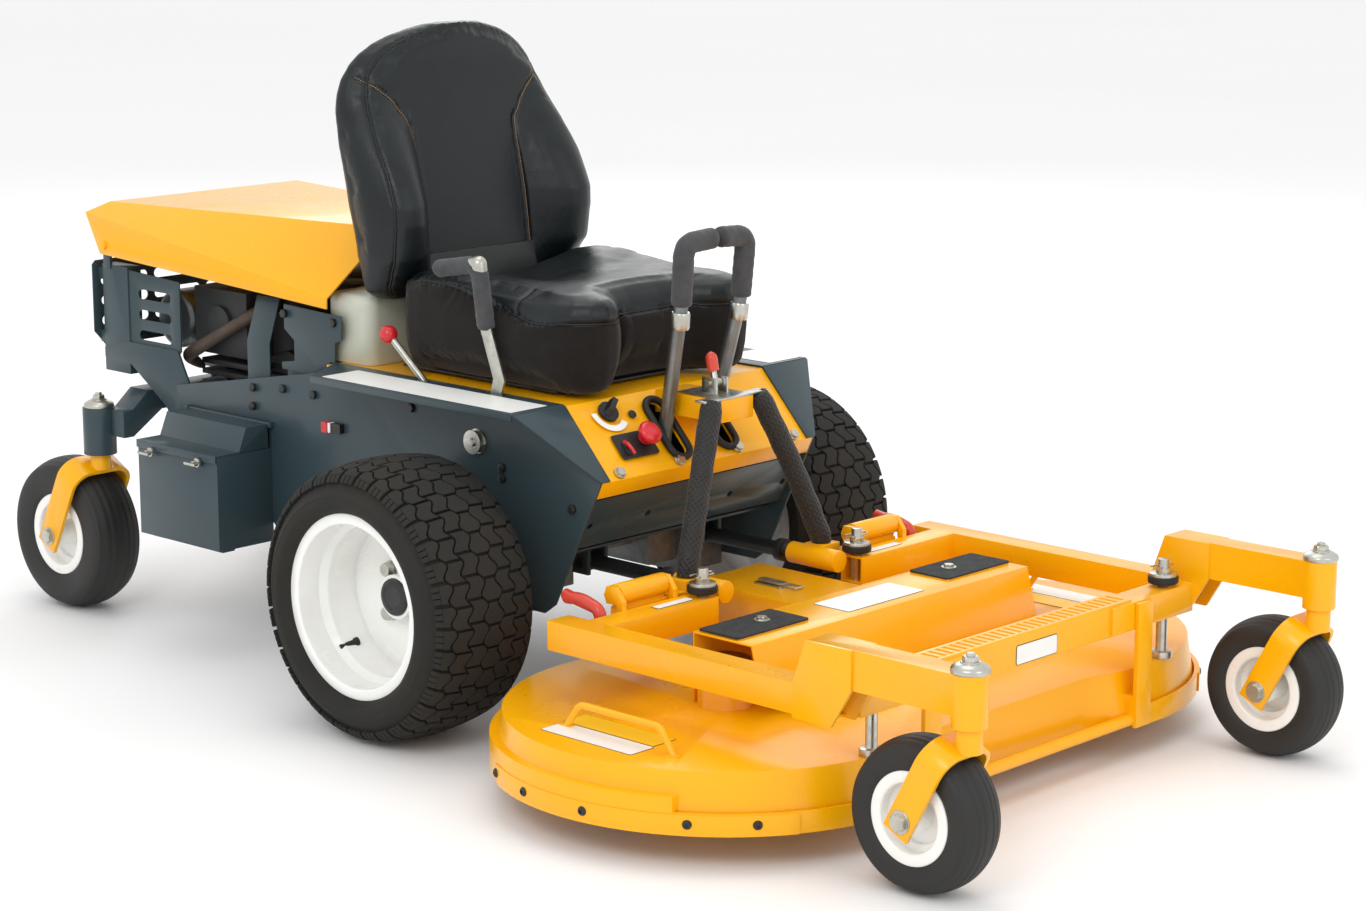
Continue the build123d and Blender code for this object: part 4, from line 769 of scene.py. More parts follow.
def repeated(name: str, kind: Repeat, finish: Finish, values: dict, angle: float = 35.0) -> bpy.types.Object:
    """Run a repeat tree and keep its result as a plain mesh.

    Args:
        name: the object's name.
        kind: which tree.
        finish: the copies' finish.
        values: the tree's inputs by name; the Piece and the Path are removed afterwards.
        angle: edges sharper than this many degrees stay sharp.

    Returns:
        The piece.
    """
    tree = repeat_tree(kind)
    holder = put(name + "_holder", bpy.data.meshes.new(name + "_holder"))
    modifier = holder.modifiers.new("repeat", "NODES")
    modifier.node_group = tree
    names = {item.name: item.identifier for item in tree.interface.items_tree if item.in_out == "INPUT"}
    for key, value in {**values, "Finish": finish.material()}.items():
        modifier[names[key]] = value
    mesh = baked(holder, name)
    bpy.data.objects.remove(holder)
    for key in ("Piece", "Path"):
        if key in values and values[key].name in bpy.data.objects:
            bpy.data.objects.remove(values[key])
    smooth(mesh, angle)
    return put(name, mesh)


def line_object(name: str, path: Sequence[Point], closed: bool = False) -> bpy.types.Object:
    """Bare curve through points in millimetres, for a tree to read."""
    curve = bpy.data.curves.new(name, "CURVE")
    curve.dimensions = "3D"
    spline = curve.splines.new("POLY")
    spline.points.add(len(path) - 1)
    for knot, p in zip(spline.points, path):
        knot.co = (*(Vector(p) * MM), 1.0)
    spline.use_cyclic_u = closed
    made = bpy.data.objects.new(name, curve)
    bpy.context.scene.collection.objects.link(made)
    return made


def between(table: Sequence[tuple[float, float]], at: float) -> float:
    """Read a table of pairs with rising first values, in straight lines between its rows."""
    if at <= table[0][0]:
        return table[0][1]
    for (x0, y0), (x1, y1) in zip(table, table[1:]):
        if at <= x1:
            share = (at - x0) / (x1 - x0)
            return y0 + (y1 - y0) * share
    return table[-1][1]


# ---------------------------------------------------------------- wheels
@dataclass
class TurfTyre:
    """Wide turf tyre with S-shaped tread blocks, on an axle along X."""

    name: str
    side: int
    body: str
    centre: Point
    radius: float = 252.0
    half: float = 125.0
    rim_radius: float = 167.5
    bead: float = 102.0
    groove: float = 7.5
    crown_half: float = 88.0
    crown_drop: float = 8.0
    shoulder: float = 34.0
    rows: int = 38

    def crown_end(self) -> tuple[float, float, float]:
        """Place and slope where the crown meets the shoulder."""
        slope = math.atan(2 * self.crown_drop / self.crown_half)
        return self.crown_half, self.radius - self.crown_drop, slope

    def surface(self, along: float, depth: float) -> tuple[float, float]:
        """Point of the outer profile.

        Args:
            along: arc length from the middle of the tread.
            depth: how far under the surface.

        Returns:
            Distance along the axle and radius.
        """
        sign = -1 if along < 0 else 1
        s = abs(along)
        end_u, end_r, slope = self.crown_end()
        if s <= self.crown_half:
            tilt = slope * s / self.crown_half
            u, r = s, self.radius - self.crown_drop * (s / self.crown_half) ** 2
        else:
            tilt = slope + (s - self.crown_half) / self.shoulder
            u = end_u - self.shoulder * math.sin(slope) + self.shoulder * math.sin(tilt)
            r = end_r - self.shoulder * math.cos(slope) + self.shoulder * math.cos(tilt)
        return sign * (u - depth * math.sin(tilt)), r - depth * math.cos(tilt)

    def casing(self) -> bpy.types.Object:
        """Casing under the tread, with rings moulded on the sidewalls."""
        tread = [self.surface(s, self.groove) for s in range(0, 121, 6)]
        wall = [
            (112.0, 214.0), (118.5, 206.0), (122.5, 200.0), (122.0, 198.5), (124.0, 193.0), (124.5, 188.0),
            (
                123.0, 181.0,
            ), (121.5, 180.0), (118.0, 174.0), (112.0, 170.5), (107.0, 168.5), (104.0, 165.0), (104.0, 158.0),
        ]
        half = tread + wall
        inside = [(90.0, 156.0), (100.0, 180.0), (100.0, 205.0), (70.0, 228.0), (0.0, 234.0)]
        loop = half + inside
        mirrored = [(-u, r) for u, r in reversed(loop[1:-1])]
        return lathe(self.name + "_casing", loop + mirrored, self.centre, (self.side, 0, 0), 96, 50)

    def block(
        self, left: Callable[[float], float], right: Callable[[float], float], low: float, high: float,
    ) -> tuple[list, list]:
        """One tread block.

        Args:
            left: arc length of the left edge at a height.
            right: arc length of the right edge at a height.
            low: lower end round the tyre.
            high: upper end round the tyre.

        Returns:
            Points and faces.
        """
        steps = 6
        points, faces = [], []
        for level, shrink in ((self.groove + 0.5, 0.0), (1.0, 0.0), (0.0, 1.0)):
            for column in range(4):
                share = column / 3
                for step in range(steps + 1):
                    v = low + (high - low) * step / steps
                    start, end = left(v) + shrink, right(v) - shrink
                    s = start + (end - start) * share
                    squeezed = v + (shrink if step == 0 else -shrink if step == steps else 0.0)
                    u, r = self.surface(s, level)
                    turn = squeezed / self.radius
                    points.append((self.side * u, r * math.sin(turn), r * math.cos(turn)))
        row = steps + 1
        layer = 4 * row
        for c in range(3):
            for i in range(steps):
                top = 2 * layer + c * row + i
                faces.append((top, top + 1, top + row + 1, top + row))
                base = c * row + i
                faces.append((base, base + row, base + row + 1, base + 1))
        rim = [i for i in range(row)] + [c * row + steps for c in (1, 2, 3)] + [3 * row + i for i in range(steps - 1, -1, -1)] + [c * row for c in (2, 1)]
        for lift in range(2):
            for i, a in enumerate(rim):
                b = rim[(i + 1) % len(rim)]
                faces.append((lift * layer + a, lift * layer + b, (lift + 1) * layer + b, (lift + 1) * layer + a))
        return points, faces

    def row(self) -> bpy.types.Object:
        """One row of blocks, at the top of the tyre."""
        pitch = 2 * math.pi * self.radius / self.rows
        low, high = -pitch / 2 + 2.6, pitch / 2 - 2.6
        edges = (-86.0, -52.0, -18.0, 18.0, 52.0, 86.0)

        def wavy(at: float) -> Callable[[float], float]:
            """S-shaped edge of a block about one arc length."""
            return lambda v: at + 6.5 * math.sin(2 * math.pi * v / pitch) * (1.0 if at <= 0 else -1.0)

        points: list = []
        faces: list = []

        def keep(block: tuple[list, list]) -> None:
            """Add one block to the row."""
            base = len(points)
            points.extend(block[0])
            faces.extend([tuple(base + i for i in f) for f in block[1]])

        for number, (a, b) in enumerate(zip(edges, edges[1:])):
            left, right = wavy(a), wavy(b)
            shift = 5.0 if number % 2 else -5.0
            keep(self.block(lambda v, e=left: e(v) + 1.8, lambda v, e=right: e(v) - 1.8, low + shift, high + shift))
        for sign in (-1, 1):
            inner = wavy(sign * 86.0)
            edge = (lambda v, e=inner: e(v) - 1.8) if sign < 0 else (lambda v, e=inner: e(v) + 1.8)
            rest = (lambda v: -107.0) if sign < 0 else (lambda v: 107.0)
            keep(self.block(rest, edge, low + 4, high + 2) if sign < 0 else self.block(edge, rest, low + 4, high + 2))
            third = (high - low) / 3
            for finger in range(3):
                start = low + finger * third + 1.2
                ends = (
                    (lambda v: -122.0), (lambda v: -106.5),
                ) if sign < 0 else ((lambda v: 106.5), (lambda v: 122.0))
                keep(self.block(*ends, start + 3, start + third - 1.4 + 3))
        return from_faces(self.name + "_row", points, faces, 40)

    def build(self) -> None:
        """Build the casing and the tread, and fit them to the wheel."""
        casing = self.casing()
        casing.data.materials.append(TYRE.material())
        tread = repeated(
            self.name + "_tread",
            Repeat.WHEEL,
            TYRE,
            {"Piece": self.row(), "Count": self.rows, "Centre": Vector(self.centre) * MM},
        )
        piece = joined(self.name + "_turf", [casing, tread])
        dress(piece, TYRE, self.body, (self.name,))


@dataclass
class RibTyre:
    """Small smooth tyre with a few fine ribs round it."""

    name: str
    side: int
    body: str
    centre: Point
    radius: float
    width: float
    rim_radius: float
    crown: float

    def profile(self) -> list[tuple[float, float]]:
        """Half profile mirrored, with grooves in the tread and rings on the wall."""
        half = self.width / 2
        seat = self.rim_radius - 15
        bead = half * 0.82
        middle = (self.rim_radius + self.radius) / 2
        tread = []
        for step in range(13):
            u = half * 0.82 * step / 12
            r = self.radius - self.crown * (u / (half * 0.82)) ** 2.4
            tread.append((u, r - (1.6 if step in (3, 7) else 0.0)))
        wall = []
        for step in range(1, 10):
            turn = math.pi / 2 * step / 9
            u = half * 0.82 + half * 0.18 * math.sin(turn)
            r = self.radius - self.crown - (self.radius - self.crown - middle) * (1 - math.cos(turn))
            wall.append((u, r + (0.8 if step in (5, 6) else 0.0)))
        low = [
            (half * 0.985, middle - 8), (half * 0.95, self.rim_radius + 8), (half * 0.9, self.rim_radius + 3),
            (bead + 1, self.rim_radius + 0.6), (bead - 0.5, seat),
        ]
        inside = [
            (bead - 8, seat - 0.5), (half * 0.82, middle), (half * 0.6, self.radius - self.crown - 10),
            (0.0, self.radius - 13),
        ]
        return tread + wall + low + inside

    def build(self) -> None:
        """Build the tyre and fit it to the wheel."""
        half = self.profile()
        loop = half + [(-u, r) for u, r in reversed(half[1:-1])]
        piece = lathe(self.name + "_ribbed", loop, self.centre, (self.side, 0, 0), 96, 60)
        dress(piece, SMOOTH_TYRE, self.body, (self.name,))


# ---------------------------------------------------------------- seat
@dataclass
class Seat:
    """High-back seat: a cushion with a cloth skirt and a winged backrest with contrast seams."""

    body: str = "seat"
    voxel: float = 5.0
    skirt_turn_z: float = 650
    swell: float = 7.0
    seam_line: tuple[tuple[float, float], ...] = (
        (-230, 727), (-97, 728), (32, 753), (100, 770), (128, 775), (220, 776), (260, 750), (293, 706),
    )
    roll: tuple[tuple[float, float], ...] = (
        (-230, 46), (-97, 42), (32, 26), (128, 12), (220, 10), (260, 20), (293, 34),
    )
    crown: tuple[tuple[float, float], ...] = (
        (-200, 776), (-150, 779), (-90, 774), (-30, 766), (60, 752), (140, 745), (220, 746), (288, 742),
    )
    heights: tuple[float, ...] = (
        716, 722, 734, 752, 775, 800, 830, 865, 900, 935, 970, 1005, 1038, 1070, 1101, 1130, 1156, 1178, 1195,
        1209, 1219, 1225,
    )
    widths: tuple[tuple[float, float], ...] = (
        (716, 225), (724, 244), (737, 258), (800, 268), (895, 274), (
            1000, 274,
        ), (1060, 268), (1101, 259), (1137, 243),
        (1168, 218), (1188, 190), (1204, 156), (1216, 116), (1225, 64),
    )
    piping: tuple[tuple[float, float], ...] = (
        (716, 212), (724, 228), (737, 240), (799, 250), (904, 250), (
            1000, 245,
        ), (1038, 240), (1090, 228), (1137, 210),
        (1168, 184), (1188, 158), (1204, 124), (1216, 84), (1225, 36),
    )
    wings: tuple[tuple[float, float], ...] = (
        (716, 292), (799, 256), (860, 250), (904, 252), (960, 276), (1038, 322), (1090, 352), (1137, 368),
        (1180, 362), (1225, 343),
    )
    middle: tuple[tuple[float, float], ...] = (
        (716, 296), (773, 300), (900, 318), (1034, 346), (1108, 358), (1160, 360), (1200, 352), (1225, 341),
    )
    backs: tuple[tuple[float, float], ...] = (
        (716, 345), (800, 374), (895, 398), (1071, 430), (1150, 430), (1200, 412), (1225, 380),
    )
    seams: tuple[tuple[float, float], ...] = (
        (740, 128), (1000, 128), (1034, 132), (1060, 148), (1090, 172), (1129, 222),
    )

    def section(self, z: float) -> list[Point]:
        """Outline of the backrest at one height."""
        half = between(self.widths, z)
        edge = between(self.piping, z)
        wing, centre, back = (between(table, z) for table in (self.wings, self.middle, self.backs))
        seam = min(between(self.seams, z), edge - 14)
        swell = 0.72 - 0.2 * max(0.0, min(1.0, (z - 1040) / 90))
        ring = []
        for step in range(33):
            x = edge * (step / 16 - 1)
            share = (abs(x) - seam) / (edge - seam)
            if share <= 0:
                y = centre - 6.0 * (1 - (x / seam) ** 2)
            else:
                y = centre + (wing - centre) * math.sin(swell * math.pi * share) / math.sin(swell * math.pi)
            ring.append((x, y, z))
        thick = back - wing
        wall = []
        for share, reach in ((0.06, 0.12), (0.16, 0.42), (0.3, 0.7), (0.48, 0.93), (0.62, 1.0), (0.75, 0.98)):
            wall.append((edge + (half - edge) * reach, wing + thick * share))
        for share, inset in ((0.85, 8.0), (0.93, 22.0), (0.98, 42.0)):
            wall.append((max(half - inset, half * 0.7), wing + thick * share))
        ring.extend((x, y, z) for x, y in wall)
        ring.extend((half * share, back, z) for share in (0.6, 0.38, 0.18, 0.0, -0.18, -0.38, -0.6))
        ring.extend((-x, y, z) for x, y in reversed(wall))
        return ring

    def outline(self, grow: float = 0.0) -> list[tuple[float, float]]:
        """Plan of the cushion, grown by a distance."""
        half = [(0, -150), (40, -150), (78, -154), (104, -172), (124, -200), (150, -220), (180, -226), (210, -216), (234, -190),
                (246, -150), (250, -80), (251, 20), (250, 120), (246, 200), (238, 252), (214, 280), (150, 286), (75, 288), (0, 288)]
        loop = half + [(-x, y) for x, y in reversed(half[1:-1])]
        grown = []
        for i, (x, y) in enumerate(loop):
            (x0, y0), (x1, y1) = loop[i - 1], loop[(i + 1) % len(loop)]
            tangent = Vector((x1 - x0, y1 - y0)).normalized()
            grown.append((x + tangent.y * grow, y - tangent.x * grow))
        return grown

    def edge(self, y: float) -> float:
        """Height of the cushion's upper edge at one depth."""
        return between(self.seam_line, y) + between(self.roll, y)

    def top(self, x: float, y: float) -> float:
        """Height of the cushion's top at a place."""
        share = min(1.0, abs(x) / 235.0)
        side = share * share * (3 - 2 * share)
        middle = between(self.crown, y)
        return middle + (self.edge(y) - middle) * side

    def puff(self, piece: bpy.types.Object) -> None:
        """Fill a pad like foam under its cover, by a short cloth simulation.

        Args:
            piece: closed mesh, changed in place.
        """
        remesh = piece.modifiers.new("remesh", "REMESH")
        remesh.mode = "VOXEL"
        remesh.voxel_size = self.voxel * MM
        even = baked(piece, piece.name)
        piece.modifiers.clear()
        piece.data = even
        rest = [v.co.copy() for v in even.vertices]
        cloth = piece.modifiers.new("cloth", "CLOTH")
        cloth.settings.use_pressure = True
        cloth.settings.uniform_pressure_force = 4.0
        cloth.settings.quality = 4
        cloth.settings.effector_weights.gravity = 0.0
        cloth.point_cache.frame_start = 1
        cloth.point_cache.frame_end = 20
        scene = bpy.context.scene
        for frame in range(1, 21):
            scene.frame_set(frame)
        shaped = baked(piece, piece.name)
        piece.modifiers.clear()
        scene.frame_set(1)
        limit = self.swell * MM
        for vertex, start in zip(shaped.vertices, rest):
            move = vertex.co - start
            if move.length > limit:
                vertex.co = start + move * (limit / move.length)
        piece.data = shaped
        smooth(piece.data, 180)

    def crease(
        self, piece: bpy.types.Object, lines: Sequence[Sequence[Point]], reach: float, depth: float,
    ) -> None:
        """Pull a cover in along its seams.

        Args:
            piece: mesh, changed in place.
            lines: paths of the seams, in millimetres.
            reach: how wide the valley is to each side.
            depth: how deep it is.
        """
        samples = [Vector(p) * MM for line in lines for p in line]
        tree = KDTree(len(samples))
        for i, p in enumerate(samples):
            tree.insert(p, i)
        tree.balance()
        moves = []
        for vertex in piece.data.vertices:
            _, _, far = tree.find(vertex.co)
            if far < reach * MM * 2.5:
                moves.append((vertex.index, depth * MM * math.exp(-((far / (reach * MM)) ** 2))))
        normals = [v.normal.copy() for v in piece.data.vertices]
        for index, amount in moves:
            piece.data.vertices[index].co -= normals[index] * amount

    def on_front(self, tree: BVHTree, x: float, z: float, lift: float) -> Point:
        """Point on the backrest's front, lifted off it.

        Args:
            tree: the backrest's surface.
            x: place across.
            z: height.
            lift: distance off the surface.

        Returns:
            The point in millimetres.
        """
        hit, normal, _, _ = tree.ray_cast(Vector((x * MM, -0.2, z * MM)), Vector((0, 1, 0)))
        if hit is None:
            return (x, between(self.middle, z), z)
        return tuple((hit + normal * lift * MM) / MM)

    def stitches(self, name: str, path: Sequence[Point], closed: bool = False) -> bpy.types.Object:
        """Row of thread stitches along a path."""
        stitch = bar(name + "_one", [(-1.9, 0, 0), (1.9, 0, 0)], 0.75, sides=1)
        line = line_object(name + "_line", path, closed)
        return repeated(name, Repeat.PATH, THREAD, {"Piece": stitch, "Path": line, "Spacing": 5.2 * MM}, 60)

    def seam_path(self, sign: int) -> list[tuple[float, float]]:
        """Seam between the middle panel and one bolster, as x and z."""
        return [(sign * between(self.seams, z), z) for z in range(745, 1131, 5)]

    def build_back(self) -> None:
        """Build the backrest with its seams, piping and stitches."""
        piece = loft("seat_back_cover", [self.section(z) for z in self.heights], angle=180)
        self.puff(piece)
        surface = BVHTree.FromObject(piece, bpy.context.evaluated_depsgraph_get())
        seams = [[self.on_front(surface, x, z, 0.0) for x, z in self.seam_path(sign)] for sign in (-1, 1)]
        arch = [(between(self.piping, z) + 1, z) for z in range(722, 1224, 6)]
        rim_xz = [(-x, z) for x, z in arch] + list(reversed(arch))
        rim = []
        for x, z in rim_xz:
            place, _, _, _ = surface.find_nearest(Vector((x, between(self.wings, z) + 2, z)) * MM)
            rim.append(tuple(place / MM))
        edge = bpy.data.objects[piece.name].modifiers.new("finer", "SUBSURF")
        edge.levels = edge.render_levels = 1
        piece.data = baked(piece, piece.name)
        piece.modifiers.clear()
        self.crease(piece, seams, 5.0, 4.5)
        self.crease(piece, [rim], 5.0, 3.0)
        smooth(piece.data, 180)
        dress(piece, LEATHER, self.body, ("seat_back",))
        surface = BVHTree.FromObject(piece, bpy.context.evaluated_depsgraph_get())
        for sign, seam in zip((-1, 1), seams):
            offset = [self.on_front(surface, p[0] + sign * 4.0, p[2], 0.5) for p in seam]
            thread = self.stitches(f"seat_back_stitches_{'left' if sign > 0 else 'right'}", offset)
            dress(thread, THREAD, self.body)
        cord_line = [tuple(surface.find_nearest(Vector(p) * MM)[0] / MM) for p in rim]
        dress(
            bar("seat_back_piping", cord_line, 2.6, smooth_line=True, sides=3), LEATHER, self.body,
        )

    def build_cushion(self) -> None:
        """Build the cushion with its skirt, piping and short seams."""
        rings = []
        for z, grow in ((606, -22), (602, -40)):
            rings.append([(x, y, z) for x, y in self.outline(grow)])
        rings.reverse()
        for z, grow in ((618, -12), (650, -5)):
            rings.append([(x, y, z) for x, y in self.outline(grow)])
        for share, grow in ((0.45, -2), (0.85, -2), (1.0, -3)):
            ring = []
            for x, y in self.outline(grow):
                rise = between(self.seam_line, y) - self.skirt_turn_z
                ring.append((x, y, self.skirt_turn_z + rise * share))
            rings.append(ring)
        for share, grow in ((0.16, -1), (0.42, 1), (0.68, -3), (0.88, -10)):
            rings.append([(x, y, between(self.seam_line, y) + between(self.roll, y) * share) for x, y in self.outline(grow)])
        for inset, low in ((18, 2.5), (30, 0)):
            rings.append([(x, y, self.top(x, y) - low) for x, y in self.outline(-inset)])
        base = self.outline(-30)
        for scale in (0.85, 0.68, 0.5, 0.32, 0.15):
            ring = []
            for x, y in base:
                px, py = x * scale, (y - 60) * scale + 60
                ring.append((px, py, self.top(px, py)))
            rings.append(ring)
        piece = loft("seat_cushion_cover", rings, angle=180)
        self.puff(piece)
        finer = piece.modifiers.new("finer", "SUBSURF")
        finer.levels = finer.render_levels = 1
        piece.data = baked(piece, piece.name)
        piece.modifiers.clear()
        surface = BVHTree.FromObject(piece, bpy.context.evaluated_depsgraph_get())
        loop = self.outline(0)
        dense = []
        for (x0, y0), (x1, y1) in zip(loop, loop[1:] + loop[:1]):
            for step in range(6):
                dense.append((x0 + (x1 - x0) * step / 6, y0 + (y1 - y0) * step / 6))
        rim = [tuple(surface.find_nearest(Vector((x, y, between(self.seam_line, y))) * MM)[0] / MM) for x, y in dense]
        self.crease(piece, [rim], 6.0, 4.0)
        shorts = []
        for sign in (-1, 1):
            line = []
            for step in range(15):
                share = step / 14
                guess = Vector((sign * (205 + 50 * share), -60, 785 - 50 * share)) * MM
                line.append(tuple(surface.find_nearest(guess)[0] / MM))
            shorts.append(line)
        self.crease(piece, shorts, 4.0, 3.0)
        piece.data.materials.append(LEATHER.material())
        piece.data.materials.append(SKIRT.material())
        for face in piece.data.polygons:
            _, y, z = face.center / MM
            face.material_index = 1 if z < between(self.seam_line, y) and face.normal.z < 0.6 else 0
        smooth(piece.data, 180)
        dress(piece, LEATHER, self.body, ("seat_cushion",))
        surface = BVHTree.FromObject(piece, bpy.context.evaluated_depsgraph_get())
        piping = [tuple(surface.find_nearest(Vector(p) * MM)[0] / MM) for p in rim[::2]]
        dress(
            bar("seat_cushion_piping", piping, 2.4, closed=True, smooth_line=True, sides=3), LEATHER,
            self.body,
        )
        for side_name, line in zip(("right", "left"), shorts):
            lifted = []
            for p in line:
                place, normal, _, _ = surface.find_nearest(Vector(p) * MM)
                lifted.append(tuple((place + normal * 0.5 * MM) / MM + Vector((0, 4.0, 0))))
            dress(self.stitches(f"seat_cushion_stitches_{side_name}", lifted), THREAD, self.body)

    def build(self) -> None:
        """Build both pads."""
        self.build_back()
        self.build_cushion()


# ---------------------------------------------------------------- studio
@dataclass(frozen=True)
class Studio:
    """Floor, light and camera."""

    eye: tuple[float, float, float] = (-4.0634, -4.0676, 1.6462)
    gaze: tuple[float, float, float] = (0.7121, 0.6710, -0.2065)
    lens: float = 82.55

    def build(self) -> None:
        """Set up the floor, the lights and the camera."""
        scene = bpy.context.scene
        scene.view_settings.view_transform = "Standard"
        mesh = bpy.data.meshes.new("floor")
        mesh.from_pydata([(-60, -60, 0), (60, -60, 0), (60, 60, 0), (-60, 60, 0)], [], [(0, 1, 2, 3)])
        floor = put("floor", mesh)
        floor.data.materials.append(PALE_FLOOR.material())
        world = bpy.data.worlds.new("studio")
        world.use_nodes = True
        world.node_tree.nodes["Background"].inputs["Color"].default_value = (1.0, 1.0, 1.0, 1.0)
        world.node_tree.nodes["Background"].inputs["Strength"].default_value = 1.0
        scene.world = world
        for name, place, size, power in (
            ("key_light", (-5.5, -2.5, 5.0), 2.5, 95.0),
            ("front_light", (-0.5, -7.0, 3.5), 2.5, 40.0),
            ("top_light", (0.5, 0.5, 6.0), 3.0, 50.0),
            ("back_light", (4.5, 4.5, 4.0), 3.0, 60.0),
        ):
            data = bpy.data.lights.new(name, "AREA")
            data.shape = "SQUARE"
            data.size = size
            data.energy = power
            lamp = bpy.data.objects.new(name, data)
            lamp.location = place
            lamp.rotation_euler = (Vector((0, 0, 0.4)) - Vector(place)).to_track_quat("-Z", "Y").to_euler()
            scene.collection.objects.link(lamp)
        data = bpy.data.cameras.new("camera")
        data.lens = self.lens
        data.sensor_width = 36.0
        camera = bpy.data.objects.new("camera", data)
        camera.location = self.eye
        camera.rotation_euler = Vector(self.gaze).to_track_quat("-Z", "Y").to_euler()
        scene.collection.objects.link(camera)
        scene.camera = camera


# ---------------------------------------------------------------- frame and controls
@dataclass
class Metalwork:
    """CAD nodes that keep their shape and get rounded edges and a finish."""

    parts: dict[str, tuple[Finish, str, str, float]] = field(
        default_factory=lambda: {
            "side_plates": (GREY, "chassis", "steel_grey", 1.0),
            "fenders": (GREY, "chassis", "steel_grey", 1.0),
            "cowl": (YELLOW, "chassis", "yellow", 1.2),
            "front_cross_member": (GREY, "chassis", "steel_grey", 0.8),
            "engine_plate": (GREY, "chassis", "steel_grey", 0.8),
            "engine_block": (ENGINE, "chassis", "engine", 2.0),
            "muffler": (STEEL_TUBE, "chassis", "black_metal", 1.0),
            "air_hose": (HOSE, "chassis", "hose", 0.5),
            "engine_guards": (GREY, "chassis", "steel_grey", 0.7),
            "fuel_tank": (TANK, "chassis", "tank", 2.0),
            "tank_cradle": (GREY, "chassis", "steel_grey", 0.7),
            "battery_box": (GREY, "chassis", "steel_grey", 0.8),
            "transaxles": (ALLOY, "chassis", "alloy", 3.0),
            "console_bracket": (ZINC, "chassis", "zinc", 0.8),
            "frame_bolts": (BLACK, "chassis", "black_metal", 0.8),
            "tail_mount": (GREY, "chassis", "steel_grey", 0.8),
            "seat_mount": (BLACK, "chassis", "black_metal", 1.0),
            "hood": (YELLOW, "hood", "yellow", 1.3),
            "seat_pan": (BLACK, "seat", "black_metal", 1.0),
            "battery_lid": (GREY, "battery_lid", "steel_grey", 0.8),
            "tail_beam": (GREY, "tail_axle", "steel_grey", 1.2),
            "parking_lever": (ZINC, "parking_brake", "zinc", 0.8),
            "choke_lever": (ZINC, "choke", "zinc", 0.6),
            "throttle_knob": (PLASTIC, "throttle", "black_plastic", 0.8),
            "key_switch": (PLASTIC, "key", "black_plastic", 0.8),
            "pto_knob": (RED, "blade_switch", "red_plastic", 2.5),
            "latch_lever": (ZINC, "deck_latch", "zinc", 0.8),
            "hitch_arms": (BLACK, "hitch", "black_metal", 1.0),
            "hitch_frame": (YELLOW, "hitch", "yellow", 1.2),
            "carrier_frame": (YELLOW, "carrier", "yellow", 2.2),
            "deck_shell": (YELLOW, "deck", "yellow", 1.5),
            "hanger_pins": (ZINC, "deck", "zinc", 0.8),
            "drive_cover": (YELLOW, "deck", "yellow", 1.5),
        }
    )

    def build(self) -> None:
        """Finish every listed node, and the mirrored ones on both sides."""
        for node, (finish, body, slot, width) in self.parts.items():
            softened(node, finish, body, width)
        for side in SIDES:
            softened(f"drive_wheel_{side}", WHITE, f"drive_wheel_{side}", 1.6)
            softened(f"caster_wheel_{side}", WHITE, f"caster_wheel_{side}", 1.2)
            softened(f"tail_wheel_{side}", WHITE, f"tail_wheel_{side}", 1.2)
            softened(f"caster_fork_{side}", YELLOW, f"caster_fork_{side}", 1.4)
            softened(f"tail_fork_{side}", YELLOW, f"tail_fork_{side}", 1.4)
            softened(f"steering_lever_{side}", STEEL_TUBE, f"steering_{side}", 1.0)
            softened(f"blade_{side}", STEEL_TUBE, f"blade_{side}", 0.8)
            softened(f"hitch_handle_{side}", RED_GRIP, f"hitch_handle_{side}", 2.0)


